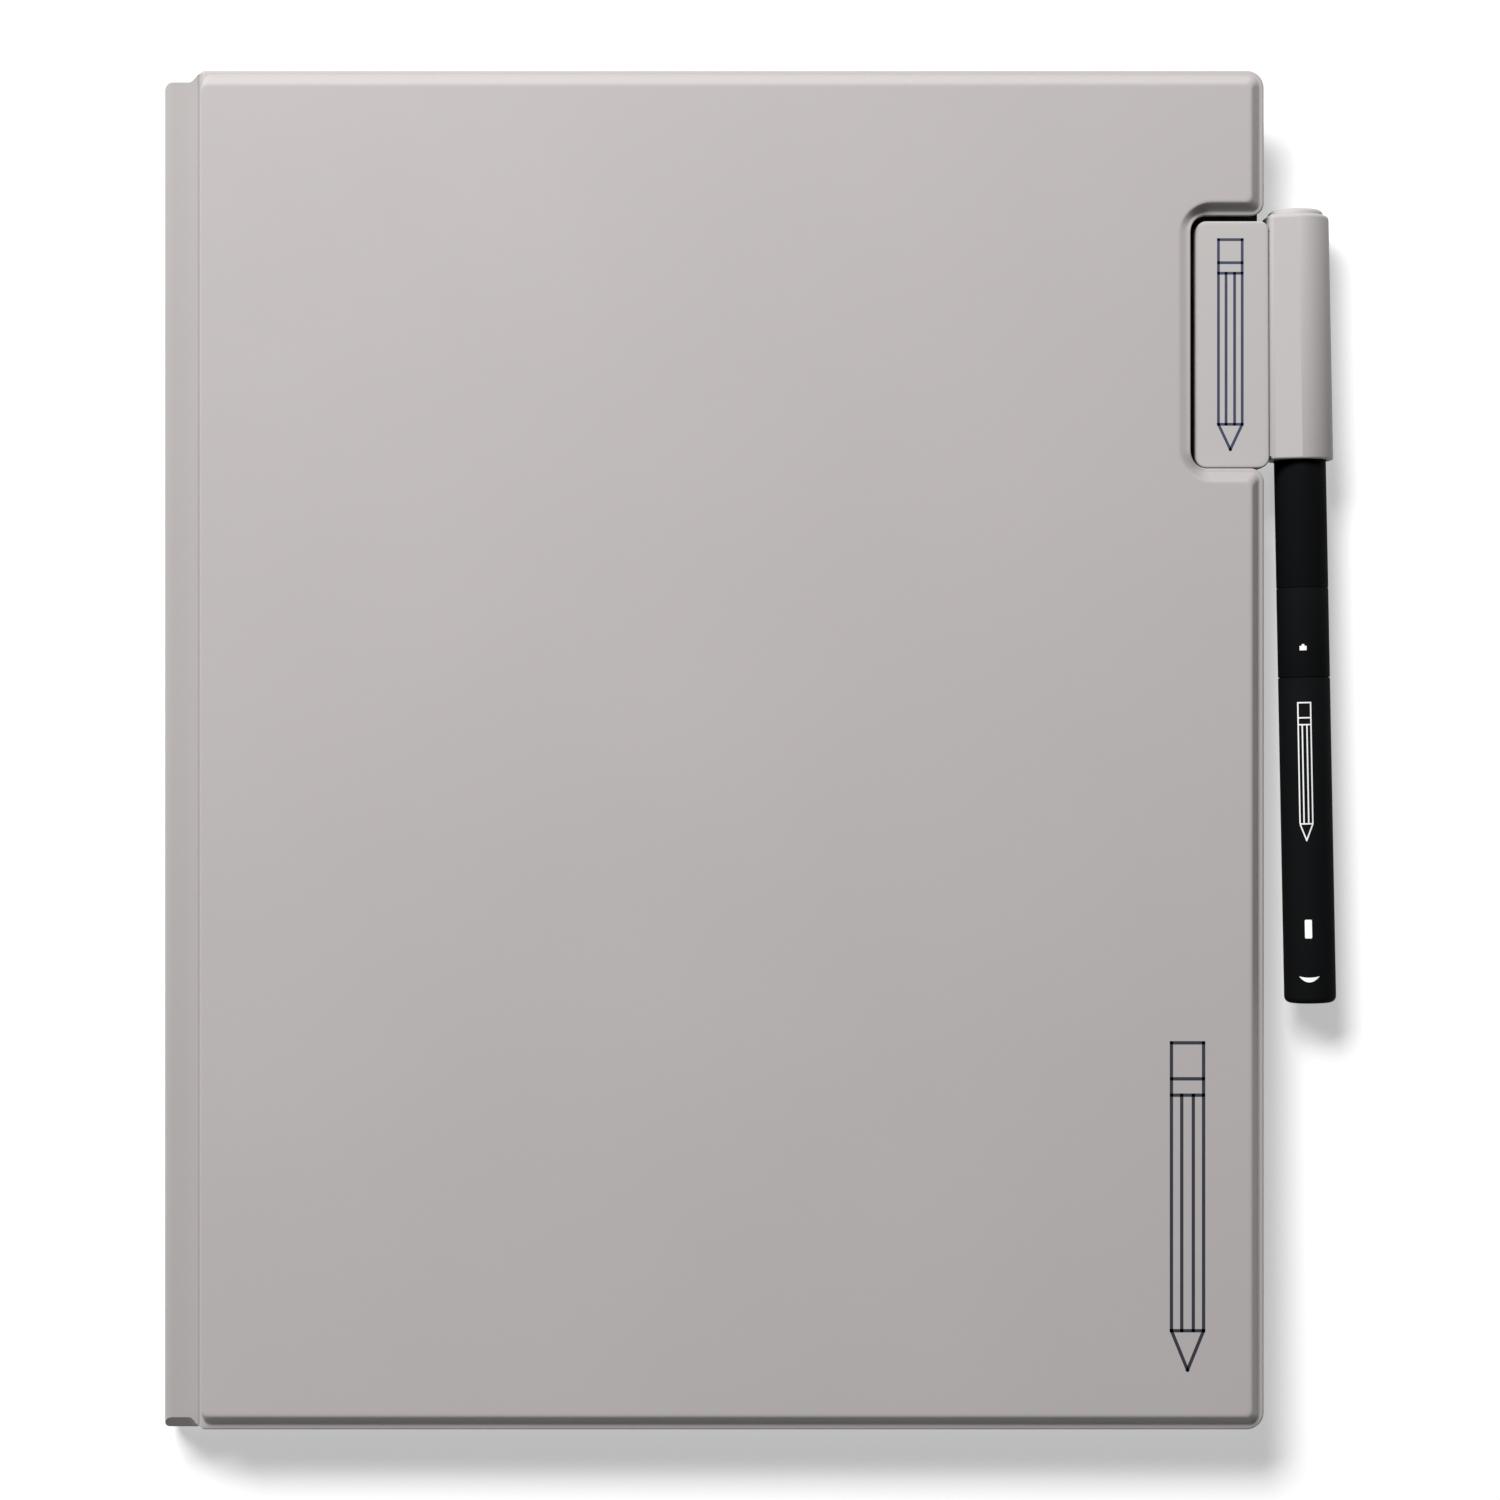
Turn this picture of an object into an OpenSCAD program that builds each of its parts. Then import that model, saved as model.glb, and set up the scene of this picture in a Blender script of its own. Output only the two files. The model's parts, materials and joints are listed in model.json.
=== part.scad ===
// A pen-and-paper folio that records what is written in it, closed and lying on its back.
// Millimetres. +X is the open edge, +Y the top of the page, +Z up out of the front cover.
// The origin is the centre of the whole object's footprint, on the surface it lies on.

/* [Folio] */
// Length of each cover, along the page
cover_len = 246; // [240:1:252]
// Front cover, from the crease to the open edge
cover_w = 192.2; // [190:0.1:194]
// How far the back half lies below the front half along the page
half_shift = 1.6; // [0:0.1:2]
// Rounding of the covers' outer corners
corner_r = 3.1; // [2:0.1:5]
// Width of the thin rim round the raised panel
rim_w = 1; // [0.6:0.1:1.4]
// Width of the sloped step in plan
slope_w = 1.76; // [1.2:0.02:2.2]
// Height of the sloped step
slope_h = 2; // [1:0.1:2.4]
// Thickness of the moulded skin
skin_t = 0.9; // [0.6:0.1:1.1]

/* [Spine] */
// Width of the strip beside the crease
strip_w = 6; // [5:0.1:7]
// How much shorter the strip is than the cover at each end
strip_short = 2; // [1:0.1:3]

/* [Notch and tab] */
// Depth of the notch in the open edge
notch_w = 13.5; // [12:0.1:15]
// Length of the notch
notch_len = 45.95; // [45.9:0.05:48]
// Middle of the notch along the page
notch_y = 74.475; // [70:0.025:78]
// Length of the tab that fills the notch
tab_len = 44.75; // [40:0.05:45]
// Width of the tab
tab_w = 13.1; // [11:0.05:13.2]

/* [Pen and sleeve] */
// Outer radius of the pen sleeve
sleeve_r = 6.03; // [5.8:0.01:6.1]
// Length of the sleeve's tube
sleeve_len = 44.5; // [40:0.1:46]
// How far the sleeve and pen lean from the page's edge, in degrees
holder_lean = 1.1; // [0:0.1:1.2]
// Radius of the pen
pen_r = 4.7; // [4.5:0.05:4.8]
// Length of the pen
pen_len = 141.7; // [130:0.1:142]
// How far the pen lies turned in its sleeve, marks towards the covers, in degrees
mark_turn = 10; // [0:1:15]

/* [Slab] */
// Width of the writing slab
slab_w = 190.5; // [185:0.5:191]
// Length of the writing slab
slab_len = 241.2; // [235:0.1:242]
// Thickness of the writing slab
slab_t = 5.4; // [5:0.1:5.4]
// Width of the paper pad
pad_w = 148; // [140:1:150]
// Length of the paper pad
pad_len = 210; // [200:1:212]

/* [Hidden] */

$fn = 48;
eps = 0.01;
// Clearance between pieces that move against each other
gap = 0.3;

// Front half: plan limits
front_x0 = -99.2;
front_x1 = front_x0 + cover_w;
front_y0 = half_shift / 2 - cover_len / 2;
front_y1 = front_y0 + cover_len;
// Back half: plan limits
back_x0 = -106.9;
back_x1 = front_x1;
back_y0 = front_y0 - half_shift;
back_y1 = front_y1 - half_shift;
// Notch
notch_x = front_x1 - notch_w;
notch_y0 = notch_y - notch_len / 2;
notch_y1 = notch_y + notch_len / 2;

// Heights of the layers
lining_t = 0.4;
back_rim_z = slope_h;
back_top_z = back_rim_z + skin_t;
slab_z = back_top_z + lining_t + 0.2;
slab_top_z = slab_z + slab_t;
pad_z = slab_top_z + 0.2;
front_z = 13;
front_rim_z = front_z + skin_t;
panel_z = front_rim_z + slope_h;
strip_z = 13.2;

// Corner radii round the front outline, convex then concave at the notch
notch_out_r = 2.4;
notch_in_r = 3.2;
left_r = 1.2;
arc_steps = 6;

// A rectilinear outline moved inwards and rounded.
// share: how much of the inward move each edge takes. The edge i runs from corner i to corner i + 1.
function unit(v) = v / norm(v);
function turn(a, b) = a[0] * b[1] - a[1] * b[0];
function moved(p, share, d) = [for (i = [0 : len(p) - 1])
    let(
        n = len(p),
        e0 = unit(p[i] - p[(i + n - 1) % n]),
        e1 = unit(p[(i + 1) % n] - p[i]),
        d0 = d * share[(i + n - 1) % n],
        d1 = d * share[i]
    )
    p[i] + d0 * [-e0[1], e0[0]] + d1 * [-e1[1], e1[0]]];
function rounded(p, radii, d) = [for (i = [0 : len(p) - 1])
    let(
        n = len(p),
        back = unit(p[(i + n - 1) % n] - p[i]),
        ahead = unit(p[(i + 1) % n] - p[i]),
        r = turn(-back, ahead) > 0 ? max(radii[i] - d, 0.8) : radii[i] + d,
        c = p[i] + r * (back + ahead)
    )
    for (k = [0 : arc_steps]) c - r * (ahead * cos(90 * k / arc_steps) + back * sin(90 * k / arc_steps))];

front_corners = [
    [front_x0, front_y0], [front_x1, front_y0],
    [front_x1, notch_y0], [notch_x, notch_y0], [notch_x, notch_y1], [front_x1, notch_y1],
    [front_x1, front_y1], [front_x0, front_y1]
];
front_radii = [left_r, corner_r, notch_out_r, notch_in_r, notch_in_r, notch_out_r, corner_r, left_r];
// The step is narrower round the notch, and the crease edge has no rim
front_share = [1, 0.9, 0.9, 0.75, 0.8, 0.9, 1, 0.15];
function front_outline(d) = rounded(moved(front_corners, front_share, d), front_radii, d);
// The board's pocket keeps a full wall beside the crease as well
pocket_share = [1, 1, 1, 1, 1, 1, 1, 0.4];
function front_pocket(d) = rounded(moved(front_corners, pocket_share, d), front_radii, d);

back_corners = [[back_x0, back_y0], [back_x1, back_y0], [back_x1, back_y1], [back_x0, back_y1]];
back_left_r = 1.5;
back_radii = [back_left_r, corner_r, corner_r, back_left_r];
back_share = [1, 1, 1, 1];
function back_outline(d) = rounded(moved(back_corners, back_share, d), back_radii, d);

// Solid inside a chain of outlines, each [outline, height], closed by a flat face on the first and the last.
// The chain may turn back inside itself, which leaves a pocket.
module stack(levels) {
    n = len(levels[0][0]);
    m = len(levels);
    points = [for (l = levels) for (p = l[0]) [p[0], p[1], l[1]]];
    sides = [for (k = [0 : m - 2]) for (j = [0 : n - 1])
        [k * n + j, (k + 1) * n + j, (k + 1) * n + (j + 1) % n, k * n + (j + 1) % n]];
    bottom = [[for (j = [0 : n - 1]) j]];
    top = [[for (j = [0 : n - 1]) m * n - 1 - j]];
    polyhedron(points, concat(bottom, sides, top), convexity = 4);
}

module slab_of(outline, z0, z1) {
    translate([0, 0, z0]) linear_extrude(z1 - z0) polygon(outline);
}

module box(x0, x1, y0, y1, z0, z1) {
    translate([x0, y0, z0]) cube([x1 - x0, y1 - y0, z1 - z0]);
}

module rounded_plate(x0, x1, y0, y1, z0, z1, r) {
    slab_of(rounded([[x0, y0], [x1, y0], [x1, y1], [x0, y1]], [r, r, r, r], 0), z0, z1);
}

module hole(x, y, z0, z1, r) {
    translate([x, y, z0]) cylinder(h = z1 - z0, r = r);
}

// ---- Back half ----
board_wall = 0.6;
board_inset = rim_w + slope_w + board_wall;
lining_inset = 0.6;
// The back skin's edge is turned in further than the front's
back_lining_inset = 2.4;

module back_skin() {
    color("#b4b0ae")
        stack([
            [back_outline(rim_w + slope_w), 0],
            [back_outline(rim_w), back_rim_z],
            [back_outline(0), back_rim_z],
            [back_outline(0), back_top_z],
            [back_outline(board_inset), back_top_z],
            [back_outline(board_inset), skin_t]
        ]);
}

module back_board() {
    color("#6b655f") slab_of(back_outline(board_inset), skin_t, back_top_z);
}

module back_lining() {
    color("#2c2d30") slab_of(back_outline(back_lining_inset), back_top_z, back_top_z + lining_t);
}

// ---- Pen holder: its own leaning frame, with the pen's axis along local +Y ----
holder_x = 100.06;
holder_y = 75.8;
holder_z = 7.7;
sleeve_v0 = -22.2;
sleeve_v1 = sleeve_v0 + sleeve_len;
sleeve_bore_r = pen_r + gap;
sleeve_wall_end = 1;
end_cap_len = 1.1;
end_cap_r = 5;

module in_holder() {
    translate([holder_x, holder_y, holder_z]) rotate([0, 0, holder_lean]) children();
}

// Something drawn round the local axis, starting at v0
module along_pen(v0) {
    in_holder() translate([0, v0, 0]) rotate([-90, 0, 0]) children();
}

module pen_tube(v0, v1, r_out, r_in) {
    along_pen(v0)
        difference() {
            cylinder(h = v1 - v0, r = r_out);
            translate([0, 0, -1]) cylinder(h = v1 - v0 + 2, r = r_in);
        }
}

// The flat shoulder beside the tab: middle of its rounding, across and above the axis
shoulder_u = 4.55;
shoulder_w = 4.6;
shoulder_r = 0.9;

module pen_sleeve() {
    color("#c0bcba")
        along_pen(sleeve_v0)
            difference() {
                union() {
                    cylinder(h = sleeve_len, r = sleeve_r);
                    linear_extrude(sleeve_len)
                        polygon([
                            [0, 0], [0, -sleeve_r], [-shoulder_u, -shoulder_w - shoulder_r],
                            [-shoulder_u - shoulder_r, -shoulder_w], [-sleeve_r + 0.1, 0]
                        ]);
                    translate([-shoulder_u, -shoulder_w, 0]) cylinder(h = sleeve_len, r = shoulder_r);
                }
                translate([0, 0, -1]) cylinder(h = sleeve_len - sleeve_wall_end + 1, r = sleeve_bore_r);
            }
}

module sleeve_end_cap() {
    color("#b9b5b2")
        along_pen(sleeve_v1)
            rotate_extrude()
                polygon([
                    [0, 0], [end_cap_r, 0], [end_cap_r, 0.4],
                    [end_cap_r - 0.7, end_cap_len], [0, end_cap_len]
                ]);
}

strap_short = 3;

module holder_strap() {
    color("#b4b0ae")
        difference() {
            box(back_x1, holder_x - 2, notch_y0 + strap_short, notch_y1 - strap_short / 2,
                back_rim_z, back_top_z);
            along_pen(sleeve_v0 - 5) cylinder(h = sleeve_len + 10, r = sleeve_r);
        }
}

// ---- Writing slab ----
slab_x0 = -98;
slab_x1 = slab_x0 + slab_w;
slab_y0 = back_y0 + 2.4;
slab_y1 = slab_y0 + slab_len;
slab_r = 4;
plate_t = 1;
floor_t = 1.2;
wall_t = 2;
plate_z = slab_top_z - plate_t;
floor_z = slab_z + floor_t;
button_x = 74;
button_y = -10;
button_r = 4.4;
light_y = 8;
light_r = 1.1;
screw_in = 7;
screw_places = [
    for (x = [slab_x0 + screw_in, 0, slab_x1 - screw_in])
        for (y = [slab_y0 + screw_in, slab_y1 - screw_in]) [x, y]
];
boss_r = 2.6;
screw_r = 0.95;
head_r = 1.8;
head_t = 0.7;
tape_in = 6;

module mounting_tape() {
    color("#202124")
        rounded_plate(slab_x0 + tape_in, slab_x1 - tape_in, slab_y0 + tape_in, slab_y1 - tape_in,
            back_top_z + lining_t, slab_z, 3);
}

module rear_housing() {
    color("#3a3b3e")
        difference() {
            union() {
                difference() {
                    rounded_plate(slab_x0, slab_x1, slab_y0, slab_y1, slab_z, plate_z, slab_r);
                    rounded_plate(slab_x0 + wall_t, slab_x1 - wall_t, slab_y0 + wall_t, slab_y1 - wall_t,
                        floor_z, plate_z + 1, slab_r - wall_t);
                }
                for (p = screw_places) hole(p[0], p[1], floor_z - eps, plate_z, boss_r);
            }
            for (p = screw_places) hole(p[0], p[1], slab_z - 1, plate_z + 1, screw_r);
            for (p = screw_places) hole(p[0], p[1], slab_z - 1, slab_z + head_t, head_r + 0.1);
            box(usb_x - usb_w / 2, usb_x + usb_w / 2, slab_y1 - wall_t - 1, slab_y1 + 1, usb_z, usb_z + usb_t);
        }
}

module housing_screws() {
    color("#8d9095")
        for (p = screw_places) {
            hole(p[0], p[1], slab_z + 0.05, slab_z + head_t, head_r);
            hole(p[0], p[1], slab_z + head_t - eps, plate_z - 0.1, screw_r);
        }
}

clip_t = 0.6;
pad_x0 = -88;
pad_x1 = pad_x0 + pad_w;
pad_y1 = 102;
pad_y0 = pad_y1 - pad_len;

module top_plate() {
    color("#26272a")
        difference() {
            rounded_plate(slab_x0, slab_x1, slab_y0, slab_y1, plate_z, slab_top_z, slab_r);
            hole(button_x, button_y, plate_z - 1, slab_top_z + 1, button_r + gap);
            hole(button_x, button_y + light_y, plate_z - 1, slab_top_z + 1, light_r);
        }
}

shield_t = 0.2;
sensor_t = 0.7;
sensor_z = plate_z - sensor_t;
sensor_over = 3;
sensor_x0 = pad_x0 - sensor_over;
sensor_x1 = pad_x1 + sensor_over;
sensor_y0 = pad_y0 - sensor_over;
sensor_y1 = pad_y1 + sensor_over;

module sensor_board() {
    color("#2d6b3f")
        box(sensor_x0, sensor_x1, sensor_y0, sensor_y1, sensor_z, plate_z);
}

module shield_sheet() {
    color("#a9adb2")
        box(sensor_x0, sensor_x1, sensor_y0, sensor_y1, sensor_z - shield_t, sensor_z);
}

module sensor_ribbon() {
    color("#c98a2b")
        box(sensor_x1, main_x0 + plug_w, plug_y0 - 1, plug_y1 + 1, sensor_z, sensor_z + 0.2);
}

main_x0 = 67.5;
main_x1 = 87;
main_y0 = -55;
main_y1 = 45;
main_z = floor_z + 0.6;
main_t = 0.8;
plug_w = 1.2;
plug_y0 = -39;
plug_y1 = -27;

module main_board() {
    color("#24583a") {
        box(main_x0, main_x1, main_y0, main_y1, main_z, main_z + main_t);
        box(main_x0, main_x0 + plug_w, plug_y0, plug_y1, main_z + main_t - eps, sensor_z);
        for (y = [main_y0 + 5, main_y1 - 5]) hole(main_x0 + 10, y, floor_z, main_z + eps, 2);
    }
}

// Each chip: low x and y, width, length, height
chips = [
    [72, -48, 8, 8, 0.9],
    [73, -32, 6, 6, 0.8],
    [72, 24, 10, 6, 0.7],
    [70, -22, 2, 1.2, 0.6],
    [70, -19, 2, 1.2, 0.6],
    [70, 14, 2, 1.2, 0.6],
    [70, 17, 2, 1.2, 0.6]
];
radio_place = [72, 33];
radio_size = [10, 10, 1];

module board_chips() {
    color("#17181a")
        for (c = chips) translate([c[0], c[1], main_z + main_t]) cube([c[2], c[3], c[4]]);
}

module radio_module() {
    color("#b8bcc0") translate([radio_place[0], radio_place[1], main_z + main_t]) cube(radio_size);
}

switch_z = main_z + main_t + 0.5;
switch_half = 2.2;
dome_t = 0.2;
dome_r = 1.1;

module button_switch() {
    color("#c8c9cb") {
        box(button_x - switch_half, button_x + switch_half, button_y - switch_half, button_y + switch_half,
            main_z + main_t, switch_z - dome_t);
        hole(button_x, button_y, switch_z - dome_t - eps, switch_z, dome_r);
    }
}

module status_light() {
    color("#f4f1e6")
        box(button_x - 0.8, button_x + 0.8, button_y + light_y - 0.6, button_y + light_y + 0.6,
            main_z + main_t, main_z + main_t + 0.5);
}

module light_pipe() {
    color("#e9f3fb") hole(button_x, button_y + light_y, main_z + main_t + 0.6, slab_top_z, light_r);
}

battery_x = 66;
battery_y = -104;
battery_w = 24;
battery_len = 38;
battery_t = 2.4;
battery_tape_t = 0.2;
battery_tape_in = 2;

module battery_cell() {
    color("#c9cdd1")
        box(battery_x, battery_x + battery_w, battery_y, battery_y + battery_len,
            floor_z + battery_tape_t, floor_z + battery_tape_t + battery_t);
}

module battery_tape() {
    color("#e0c64a")
        box(battery_x + battery_tape_in, battery_x + battery_w - battery_tape_in,
            battery_y + battery_tape_in, battery_y + battery_len - battery_tape_in,
            floor_z, floor_z + battery_tape_t);
}

usb_x = 76;
usb_w = 7.6;
usb_t = 2.4;
usb_z = floor_z + 0.2;

module usb_socket() {
    color("#b3b6ba")
        difference() {
            box(usb_x - usb_w / 2, usb_x + usb_w / 2, slab_y1 - 6, slab_y1 - 0.2, usb_z, usb_z + usb_t);
            box(usb_x - usb_w / 2 + 0.4, usb_x + usb_w / 2 - 0.4, slab_y1 - 5.2, slab_y1 + 1,
                usb_z + 0.4, usb_z + usb_t - 0.4);
        }
}

dock_t = 0.8;
tab_x1 = 93.7;
tab_x0 = tab_x1 - tab_w;
tab_y0 = notch_y0 + 0.35;
tab_y1 = tab_y0 + tab_len;

module dock_plate() {
    color("#9a9da1")
        box(tab_x0 + 1, slab_x1 - 1, tab_y0 + 4, tab_y1 - 4, slab_top_z, slab_top_z + dock_t);
}

clip_len = 60;
clip_reach = 7;
clip_x = (pad_x0 + pad_x1) / 2;
pad_card_t = 0.6;
pad_card_over = 5;

// A low bridge screwed to the slab above the pad; the pad's card slides under it
module pad_clip() {
    color("#b2b5b9") {
        box(clip_x - clip_len / 2, clip_x + clip_len / 2, pad_y1 + 1, pad_y1 + 1 + clip_reach,
            pad_z + pad_card_t + gap, pad_z + pad_card_t + gap + clip_t);
        for (s = [-1, 1])
            translate([clip_x + s * (clip_len / 2 - 1), 0, 0])
                box(-1, 1, pad_y1 + 1, pad_y1 + 1 + clip_reach, slab_top_z, pad_z + pad_card_t + gap + eps);
    }
}

module slab_spacers() {
    color("#1b1c1e")
        for (x = [slab_x0 + 4, slab_x1 - 4]) for (y = [slab_y0 + 16, slab_y1 - 16])
            box(x - 1.5, x + 1.5, y - 6, y + 6, back_top_z + lining_t, slab_z);
}

// ---- Record button: its rim stops it under the plate ----
button_rise = 0.3;

module record_button() {
    color("#55575b") {
        hole(button_x, button_y, plate_z - 0.8, slab_top_z + button_rise, button_r);
        hole(button_x, button_y, plate_z - 0.8, plate_z - 0.15, button_r + 1);
    }
}

// ---- Paper pad ----
sheets_t = 2.3;

module pad_card() {
    color("#8f7f68") {
        box(pad_x0, pad_x1, pad_y0, pad_y1, pad_z, pad_z + pad_card_t);
        box(clip_x - clip_len / 2 + 3, clip_x + clip_len / 2 - 3, pad_y1 - eps, pad_y1 + 1 + pad_card_over,
            pad_z, pad_z + pad_card_t);
    }
}

module pad_sheets() {
    color("#f3f2ee")
        box(pad_x0, pad_x1, pad_y0, pad_y1 - 0.3, pad_z + pad_card_t, pad_z + pad_card_t + sheets_t);
}

module pad_binding() {
    color("#2d2f33")
        box(pad_x0, pad_x1, pad_y1 - 0.3, pad_y1, pad_z + pad_card_t, pad_z + pad_card_t + sheets_t);
}

// ---- Spine: a standing wall and the strip beside the crease ----
wall_x0 = -107.1;
wall_x1 = wall_x0 + skin_t;
strip_x0 = front_x0 - 1.2 - strip_w + 0.2;
strip_x1 = front_x0 - 1.2;
strip_y0 = front_y0 + strip_short;
strip_y1 = front_y1 - strip_short;
wall_z0 = back_top_z + 0.6;
// The wall leans in towards the strip
wall_lean = 0.8;
wall_top = strip_z - 1.6;
function wall_inner(z) = wall_x1 + wall_lean * (z - wall_z0) / (wall_top - wall_z0);

module spine_skin() {
    color("#b7b3b0") {
        translate([0, strip_y1, 0]) rotate([90, 0, 0]) linear_extrude(strip_y1 - strip_y0)
            polygon([
                [wall_x0, wall_z0], [wall_x1, wall_z0],
                [wall_inner(wall_top), wall_top], [wall_x1 + 1.5, strip_z - skin_t],
                [strip_x1, strip_z - skin_t], [strip_x1, strip_z],
                [strip_x0 + 1.2, strip_z], [strip_x0 + 0.3, strip_z - 0.5], [strip_x0, wall_top]
            ]);
        wall_foot();
    }
}

// The wall's foot runs on past the strip, on a slant, to the back half's lower end
module wall_foot() {
    foot_y = back_y0 + 0.5;
    intersection() {
        translate([0, strip_y0 + eps, 0]) rotate([90, 0, 0]) linear_extrude(strip_y0 - foot_y + 1)
            polygon([
                [wall_x0, wall_z0], [wall_x1, wall_z0],
                [wall_inner(wall_top), wall_top], [strip_x0, wall_top]
            ]);
        translate([wall_x0 - 1, 0, 0]) rotate([90, 0, 90]) linear_extrude(skin_t + wall_lean + 2)
            polygon([
                [foot_y, wall_z0 - 1], [foot_y, wall_z0 + 0.3], [strip_y0, wall_top - 0.4],
                [strip_y0 + 1, wall_top - 0.4], [strip_y0 + 1, wall_z0 - 1]
            ]);
    }
}

spine_board_t = 1;
spine_board_z0 = wall_z0 + 1;
spine_board_z1 = strip_z - 2.4;
spine_lining_t = 0.3;

module spine_board() {
    color("#6b655f")
        translate([0, strip_y1 - 3, 0]) rotate([90, 0, 0]) linear_extrude(strip_y1 - strip_y0 - 6)
            polygon([
                [wall_inner(spine_board_z0), spine_board_z0],
                [wall_inner(spine_board_z0) + spine_board_t, spine_board_z0],
                [wall_inner(spine_board_z1) + spine_board_t, spine_board_z1],
                [wall_inner(spine_board_z1), spine_board_z1]
            ]);
}

// Cloth over the board's inner face and the underside of the strip
module spine_lining() {
    face_x0 = wall_inner(spine_board_z0) + spine_board_t;
    face_x1 = wall_inner(spine_board_z1) + spine_board_t;
    under_z = strip_z - skin_t;
    color("#2c2d30")
        translate([0, strip_y1 - 1, 0]) rotate([90, 0, 0]) linear_extrude(strip_y1 - strip_y0 - 2)
            polygon([
                [face_x0, spine_board_z0], [face_x0 + spine_lining_t, spine_board_z0],
                [face_x1 + spine_lining_t, spine_board_z1], [face_x1 + 1.2, under_z - spine_lining_t],
                [strip_x1 - 0.2, under_z - spine_lining_t], [strip_x1 - 0.2, under_z],
                [face_x1 + 0.9, under_z], [face_x1, spine_board_z1]
            ]);
}

crease_t = 0.5;
crease_z = front_z;

// The thin web in the crease, moulded in one with the strip
module crease_skin() {
    color("#a9a5a3")
        box(strip_x1, front_x0 - gap - 0.1, strip_y0 + 1, strip_y1 - 1, crease_z - crease_t, crease_z);
}

// The skin that joins the back half's edge to the wall above it
fold_short = 2;

module lower_fold_skin() {
    color("#a9a5a3")
        box(wall_x0, back_x0, back_y0 + fold_short, back_y1 - fold_short, back_rim_z + 0.1, back_top_z);
}

// ---- Front cover ----
module front_skin() {
    color("#b8b4b1")
        stack([
            [front_pocket(board_inset), panel_z - skin_t],
            [front_pocket(board_inset), front_z],
            [front_outline(0), front_z],
            [front_outline(0), front_rim_z],
            [front_outline(rim_w), front_rim_z],
            [front_outline(rim_w + slope_w), panel_z]
        ]);
}

module front_board() {
    color("#6b655f") slab_of(front_pocket(board_inset), front_z, panel_z - skin_t);
}

module front_lining() {
    color("#2c2d30") slab_of(front_outline(lining_inset), front_z - lining_t, front_z);
}

pocket_t = 0.25;

// A flat pocket panel over the lower half of the lining, open along its upper edge
module document_pocket() {
    color("#34363a")
        box(front_x0 + 4, front_x1 - 20, front_y0 + 3, front_y0 + cover_len / 2,
            front_z - lining_t - pocket_t, front_z - lining_t);
}

// ---- Tab over the slab's edge ----
tab_top_z = 13.4;
tab_skin_t = 0.8;
tab_z0 = slab_top_z + dock_t + 0.3;
tab_r = 2.1;
tab_side_t = 1.2;
tab_end_t = 1.6;

module tab_shell() {
    color("#bdb9b7")
        difference() {
            rounded_plate(tab_x0, tab_x1, tab_y0, tab_y1, tab_z0, tab_top_z, tab_r);
            box(tab_x0 + tab_side_t, tab_x1 - tab_side_t, tab_y0 + tab_end_t, tab_y1 - tab_end_t,
                tab_z0 - 1, tab_top_z - tab_skin_t);
        }
}

module tab_base() {
    color("#2c2d30")
        difference() {
            box(tab_x0 + tab_side_t, tab_x1 - tab_side_t, tab_y0 + tab_end_t, tab_y1 - tab_end_t,
                tab_z0, tab_top_z - tab_skin_t);
            for (y = magnet_ys) hole(magnet_x, y, tab_z0 + 0.4, tab_top_z, magnet_r);
        }
}

magnet_x = (tab_x0 + tab_x1) / 2;
magnet_ys = [tab_y0 + 8, (tab_y0 + tab_y1) / 2, tab_y1 - 8];
magnet_r = 3.6;

module tab_magnets() {
    color("#9b9ea3")
        for (y = magnet_ys) hole(magnet_x, y, tab_z0 + 0.4, tab_top_z - tab_skin_t, magnet_r);
}

web_w = 0.2;

module tab_hinge_web() {
    color("#8f8b89")
        box(tab_x1, tab_x1 + web_w, tab_y0 + 3, tab_y1 - 3, tab_top_z - 0.7, tab_top_z - 0.2);
}

// ---- Pen: v runs along its axis, from the rear end to the writing tip ----
tip_v = sleeve_v1 - sleeve_wall_end - 0.8;
rear_v = tip_v - pen_len;
band_v1 = rear_v + 75.8;
band_v0 = rear_v + 59.4;
nose_v = tip_v - 13;
nose_tip_v = tip_v - 3.2;
barrel_bore_r = 3.5;
end_round = 1.2;

module pen_front_barrel() {
    color("#141516") pen_tube(band_v1, nose_v, pen_r, barrel_bore_r);
}

module pen_nose() {
    color("#1b1c1e")
        along_pen(nose_v)
            rotate_extrude()
                polygon([[1.3, 0], [pen_r, 0], [3.6, 5], [1.7, nose_tip_v - nose_v], [1.3, nose_tip_v - nose_v]]);
}

refill_r = 1.15;
refill_tip_len = 1.2;
socket_v = band_v1 + 2;
socket_len = 10;
socket_depth = 4;
refill_v = socket_v + socket_len - socket_depth;
refill_len = tip_v - refill_tip_len - refill_v;

module ink_refill() {
    color("#c7c9cc")
        along_pen(refill_v) {
            cylinder(h = refill_len, r = refill_r);
            translate([0, 0, refill_len - eps]) cylinder(h = refill_tip_len, r1 = 0.8, r2 = 0.35, $fn = 24);
        }
}

module refill_socket() {
    color("#d6d3c8")
        along_pen(socket_v)
            difference() {
                cylinder(h = socket_len, r = barrel_bore_r);
                translate([0, 0, socket_len - socket_depth]) cylinder(h = socket_depth + 1, r = refill_r);
            }
}

module sensing_coil() {
    color("#b0622f") pen_tube(nose_v - 10, nose_v - 0.5, barrel_bore_r, 1.4);
}

pen_board_size = [4, 20, 0.8];

module pen_board() {
    color("#24583a")
        in_holder() translate([-pen_board_size[0] / 2, band_v1 + 14, -2.6]) cube(pen_board_size);
}

module pen_mid_band() {
    color("#17181a")
        difference() {
            pen_tube(band_v0, band_v1, pen_r, 3.0);
            mark_pocket();
        }
}

mark_v = rear_v + 64.8;

// Something drawn on the pen's marked side
module on_marked_side() {
    in_holder() rotate([0, -mark_turn, 0]) children();
}

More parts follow.
